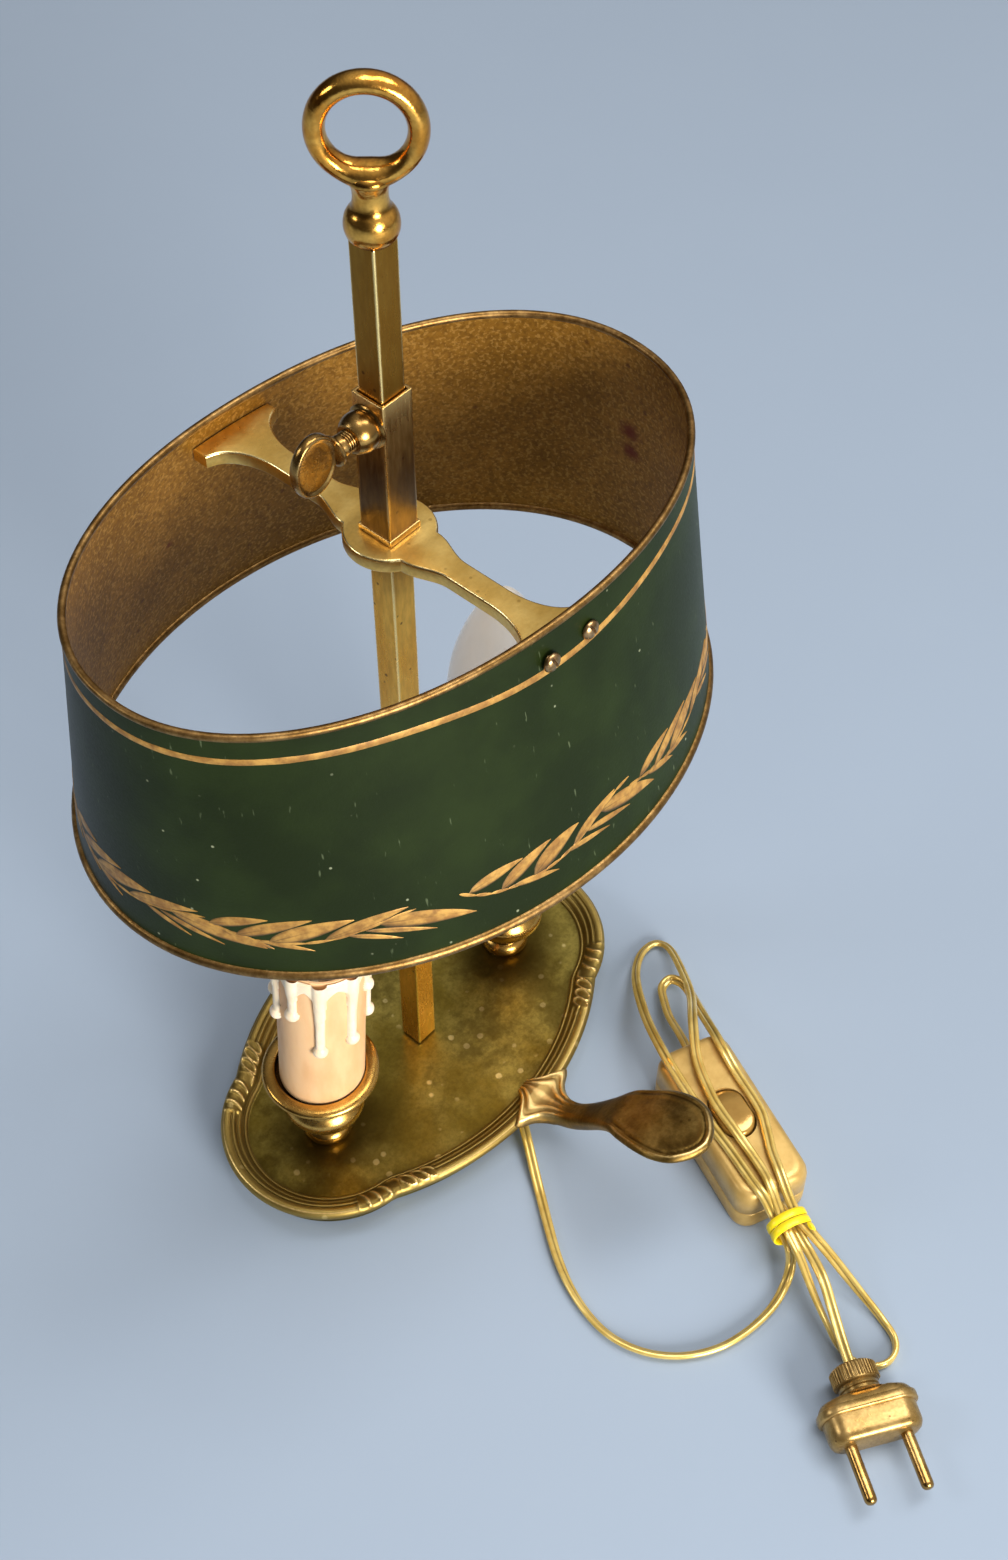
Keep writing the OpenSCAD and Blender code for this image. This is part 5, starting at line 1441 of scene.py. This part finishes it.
def cupShape(side):
    line = [(r, z + candle["floor"]) for r, z in smoothLine(cupLine[:-3], 3) + cupLine[-3:]]
    points, faces = lathe(line, 96, onCandle(side), loop=True)
    hollow = []
    for p in points:
        z = p[2] - candle["floor"]
        r = math.hypot(p[0] - side * candle["x"], p[1])
        dirtAndShade = 0.8 * ball(z, 6.6, 0.7) + 0.6 * ball(z, 0, 0.5)
        hollow.append(min(1, dirtAndShade + (0.9 if r < 14.8 and z > 36 else 0)))
    return (points, faces), {"hollow": hollow}


# place round the sleeve in degrees and length of each drip
drips = [(150, 31), (184, 22.5), (220, 39), (263, 37), (297, 18), (315, 38.5), (345, 26), (18, 33), (56, 24),
         (94, 36), (122, 28)]
wax = {"coat": 4.4, "strand": 1.65, "ball": 2.35, "none": -0.6, "sunk": -0.45, "around": 300, "down": 130,
       "length": 42, "inner": 0.7, "webWidth": 2.7, "webReach": 8.5, "webShare": 0.36}


def stripHalf(long, down):
    # half width of a drip at a depth: a strand that narrows, then a round drop
    end = long - 2.65
    half = mix(wax["strand"] * 1.35, wax["strand"] * 0.92, ease(4, 0.62 * long, down))
    if down > end:
        return wax["ball"] * math.sqrt(max(0.0, 1 - ((down - end) / (wax["ball"] * 1.02)) ** 2))
    if down > end - 2.6:
        return mix(half, wax["ball"], ease(end - 2.6, end - 0.2, down))
    return half


def waxHeight(angle, down, turn):
    # thickness of the wax at an angle in degrees and a depth below the top; below zero there is none
    best = wax["none"]
    reach = wax["coat"]
    for at, long in drips:
        across = math.radians(abs((angle - at - turn + 180) % 360 - 180)) * candle["sleeveR"]
        # a web spreads from the coat into each strand
        web = min(wax["webReach"], wax["webShare"] * long) * math.exp(-(across / wax["webWidth"]) ** 1.4)
        reach = max(reach, wax["coat"] + web)
        if down < long:
            half = stripHalf(long, down)
            if across < half:
                rise = half * (1.02 if down > long - 4.65 else 0.82)
                best = max(best, 0.25 + rise * math.sqrt(1 - (across / half) ** 2))
    coat = wax["none"]
    if down < reach:
        coat = ease(reach, reach - 1.3, down) ** 0.6 * ease(-0.4, 0.5, down)
    return max(best, coat) + (0.12 * min(best, coat) if best > 0 and coat > 0 else 0)


def waxShape(matrix, turn):
    around, downs, radius = wax["around"], wax["down"], candle["sleeveR"]
    rings, hollow = [], []

    def addRing(i, radii):
        z = candle["sleeveTop"] - i * wax["length"] / downs
        rings.append([matrix @ Vector((r * math.cos(a), r * math.sin(a), z))
                      for a, r in zip(roundAngles(around), radii)])

    for i in range(downs + 1):
        heights = [max(wax["sunk"], waxHeight(k * 360 / around, i * wax["length"] / downs, turn))
                   for k in range(around)]
        addRing(i, [radius + h for h in heights])
        hollow += [ease(0.55, 0.0, h) for h in heights]
    for i in range(downs, -1, -downs // 4):
        addRing(i, [radius - wax["inner"]] * around)
        hollow += [0.6] * around
    return skin(rings, loop=True), {"hollow": hollow}


def sleeveShape(matrix):
    r, wall = candle["sleeveR"], candle["sleeveWall"]
    low, high = candle["seatLow"], candle["sleeveTop"]
    line = [(r - wall, low), (r - 0.2, low), (r, low + 0.3)]
    line += [(r, mix(low + 0.3, high - 0.3, k / 24)) for k in range(1, 25)]
    line += [(r - 0.3, high), (r - wall, high - 0.1)]
    line += [(r - wall, mix(high, low, k / 6)) for k in range(1, 6)]
    return lathe(line, 112, lambda p: matrix @ p, loop=True)


# the line holds shares of the radius and of the height
bulb = {"low": 117.6, "high": 71, "radius": 17.5, "wall": 0.6,
        "line": [(0.47, 0), (0.52, 0.05), (0.72, 0.15), (0.9, 0.26), (1, 0.4), (0.98, 0.5), (0.86, 0.64),
                 (0.66, 0.78), (0.44, 0.89), (0.28, 0.955), (0.14, 0.99), (0, 1)]}


def bulbShape(side):
    low, high, wall = bulb["low"], bulb["high"], bulb["wall"]
    outer = smoothLine([(r * bulb["radius"], low + z * high) for r, z in bulb["line"]], 4)
    inner = [(max(0, r - wall), max(low + 0.3, z - wall * (z - low) / high)) for r, z in outer[::-1]]
    return lathe(outer + inner, 72, onCandle(side), loop=True)


for side, word, matrix, turn in ((-1, "left", leaning, 0), (1, "right", upright, 67)):
    shape, marks = cupShape(side)
    addShape(shape, word + "Cup", "lamp", brass["cupBrass"], ["cup_" + word], sharp=50,
             marks=marks)
    addShape(sleeveShape(matrix), word + "Sleeve", "lamp", finish["card"],
             ["candle_sleeve_" + word], sharp=50)
    shape, marks = waxShape(matrix, turn)
    addShape(shape, word + "Drips", "lamp", finish["wax"], ["wax_drips_" + word], sharp=75,
             marks=marks)
    addShape(bulbShape(side), word + "Bulb", "lamp", finish["glass"], ["bulb_glass_" + word],
             sharp=60)

# ---- cord switch ----
print("cord switch")
# each level of a shell: how much less than the full length and width, its corner and its height
switch = {"place": (34, -107, 0), "axis": math.radians(64), "length": 62, "width": 27,
          "base": [(2.2, 5, 0), (1.0, 5.6, 0.35), (0.2, 6, 1.4), (0, 6, 2.4), (0, 6, 8.65), (0.5, 5.8, 8.95)],
          "cover": [(0.5, 5.8, 9.05), (0, 6, 9.35), (0.1, 6, 15.6), (0.7, 6, 17.4), (1.9, 6, 18.8),
                    (3.5, 6, 19.6), (5.4, 6, 19.95), (8, 5.5, switchTop)],
          "well": (13.6, 22), "wellRoom": 1}
rocker = {"length": 19, "width": 12, "pivotZ": 15.4, "tilt": math.radians(6), "topR": 28.4, "topZ": 6,
          # how far each ring of the key's top is set in, and how far it is below the crown
          "levels": ((0, 1.0), (0.08, 0.6), (0.3, 0.25), (0.65, 0.06), (1.2, 0), (3, 0), (5.2, 0))}


def atSwitch(p):
    return turned(switch["axis"], p) + Vector(switch["place"])


def stadium(length, width, steps=14):
    straight = (length - width) / 2
    return arc(straight, 0, width / 2, -90, 90, steps) + arc(-straight, 0, width / 2, 90, 270, steps)


def stacked(outlines, place):
    # a solid through outlines at rising heights
    return skin([[place(Vector((x, y, z))) for x, y in line] for line, z in outlines])


def shell(levels):
    return stacked([(roundedBox(switch["length"] - less, switch["width"] - less, corner), z)
                    for less, corner, z in levels], atSwitch)


switchBase = addShape(shell(switch["base"]), "switchBase", "lamp", finish["switch"],
                      ["switch_base"], sharp=50)
wellLine = stadium(rocker["length"] + switch["wellRoom"], rocker["width"] + switch["wellRoom"])
well = meshFrom("well", *stacked([(wellLine, z) for z in switch["well"]], atSwitch))
switchCover = addPiece(cutBy(meshFrom("switchCover", *shell(switch["cover"])), well), "switchCover", "lamp",
                       finish["switch"], ["switch_cover"], sharp=50)


def rockerShape():
    # a key with a rounded long top, pressed at its far end
    long, wide = rocker["length"], rocker["width"]
    c, s = math.cos(rocker["tilt"]), math.sin(rocker["tilt"])

    def place(x, y, z):
        return atSwitch(Vector((x * c + z * s, y, -x * s + z * c + rocker["pivotZ"])))

    rings = [[place(x, y, -2) for x, y in stadium(long - 0.4, wide - 0.4)],
             [place(x, y, -1.6) for x, y in stadium(long, wide)]]
    middle = rocker["topZ"] - rocker["topR"]
    for inset, down in rocker["levels"]:
        rings.append([place(x, y, middle + math.sqrt(rocker["topR"] ** 2 - x * x) - down)
                      for x, y in stadium(long - 2 * inset, wide - 2 * inset)])
    return skin(rings)


rockerKey = addShape(rockerShape(), "rockerKey", "rocker", finish["rocker"], ["switch_rocker"],
                     sharp=50)

# ---- plug ----
print("plug")
# distances along the plug start at the cord; each level: length and thickness of its oval, and distance
plug = {"place": (-11.8, -184, 7.9), "axis": math.radians(-127), "round": 0.46, "pinGap": 18.2,
        "lid": [(18, 11.4, 9.4), (24, 12.6, 9.7), (28.6, 13.4, 10.4), (30.2, 13.8, 11.4), (30.4, 13.9, 12.3)],
        "neck": [(2.6, 5.8), (6.2, 5.8), (6.5, 6.2), (6.5, 7.4), (6.1, 7.8), (6.1, 8.6), (7.4, 9.2),
                 (8.4, 9.6), (2.6, 9.8)],
        "flange": [(31.4, 14.4, 12.35), (32.3, 15.3, 12.6), (32.6, 15.6, 13.1), (32.6, 15.6, 14.6),
                   (32.3, 15.3, 15.1), (31.4, 14.4, 15.4)],
        "body": [(30.2, 13.2, 15.3), (30.2, 13.2, 20.6), (29.8, 12.8, 21.9), (28.6, 11.8, 23),
                 (26.6, 10.2, 23.7), (24.2, 8.2, 23.9)],
        "collar": [(2.7, 0), (6.6, 0), (7.1, 0.5), (7.15, 1.0), (7.15, 5.0), (7.1, 5.5), (6.6, 5.9),
                   (2.7, 5.9)],
        "collarMiddle": 3,
        "pin": [(0, 20), (2, 20), (2, 40.2), (1.85, 41), (1.4, 41.6), (0.7, 41.9), (0, 41.9)]}


def atPlug(p):
    # from the plug's own axes, with its way out along z and its width along x
    return turned(plug["axis"], Vector((p[2], -p[0], p[1]))) + Vector(plug["place"])


def plugStack(levels):
    return stacked([(roundedBox(long, thick, thick * plug["round"], 8), z) for long, thick, z in levels],
                   atPlug)


def pinSide(side):
    return lambda p: atPlug(p + Vector((side * plug["pinGap"] / 2, 0, 0)))


def knurlTree(material):
    # ribs set all round a ring
    tree = Tree("knurl", {"Ribs": ("NodeSocketInt", 30), "Radius": ("NodeSocketFloat", 0.007),
                          "Rib": ("NodeSocketVector", (0.001, 0.001, 0.005))})
    ring = tree.node("GeometryNodeMeshCircle", {},
                     {"Vertices": tree.given("Ribs"), "Radius": tree.given("Radius")})
    place = tree.node("GeometryNodeInputPosition", {}, {})
    turn = tree.node("FunctionNodeAlignRotationToVector", {"axis": "X"}, {"Vector": place})
    rod = tree.node("GeometryNodeMeshCylinder", {"fill_type": "NGON"},
                    {"Vertices": 8, "Radius": 1.0, "Depth": 1.0})
    shaped = tree.node("GeometryNodeTransform", {}, {"Geometry": rod, "Scale": tree.given("Rib")})
    placed = tree.node("GeometryNodeInstanceOnPoints", {},
                       {"Points": ring, "Instance": shaped, "Rotation": turn})
    return tree.end(placed, material)


knurls = nodesPiece("knurls", seedMesh("knurlSeed"), knurlTree(brass["plugBrass"]),
                    {"Ribs": 44, "Radius": 0.0072, "Rib": (0.00042, 0.00036, 0.0046)})
collarMiddle = Vector((0, 0, plug["collarMiddle"]))
plugParts = {
    "plugLid": [plugStack(plug["lid"]), lathe(plug["neck"], 48, atPlug, loop=True)],
    "plugBody": [plugStack(plug["flange"]), plugStack(plug["body"])],
    "plugCollar": [lathe(plug["collar"], 60, atPlug, loop=True),
                   shapeOf(knurls, lambda p: atPlug(p + collarMiddle))]}
plugPieces = [addShape(joined(parts), name, "lamp", brass["plugBrass"],
                       [name.replace("plug", "plug_").lower()]) for name, parts in plugParts.items()]
pins = joined([lathe(plug["pin"], 32, pinSide(side)) for side in (-1, 1)])
plugPieces.append(addShape(pins, "plugPins", "lamp", brass["screwBrass"], ["plug_pins"],
                           sharp=50))

# ---- pieces that keep their solids ----
print("other solids")
kept = {
    brass["bronzeScrew"]: ("handle_screw", "cover_screw", "stem_washer", "stem_nut", "nipple_nuts"),
    brass["trayBrass"]: ("base_cover",),
    brass["cupBrass"]: ("nipple_left", "nipple_right", "holder_shells", "centre_contacts", "switch_contacts"),
    finish["felt"]: ("felt_pad",),
    finish["fibre"]: ("cord_bush",),
    finish["ivory"]: ("splice_block", "holder_left", "holder_right", "plug_insulator"),
    finish["steel"]: ("bulb_cap_left", "bulb_cap_right", "rocker_pin", "switch_screws"),
    finish["mount"]: ("filaments",),
    finish["cord"]: ("wiring_left", "wiring_right")}
for material, names in kept.items():
    for name in names:
        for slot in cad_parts[name].material_slots:
            slot.material = material

onCord = [cordTie, switchBase, switchCover, rockerKey]
onCord += [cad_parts[name] for name in ("rocker_pin", "switch_contacts", "switch_screws")]
length(cordPaths["cordLamp"])
length(cordPaths["cordPlug"])
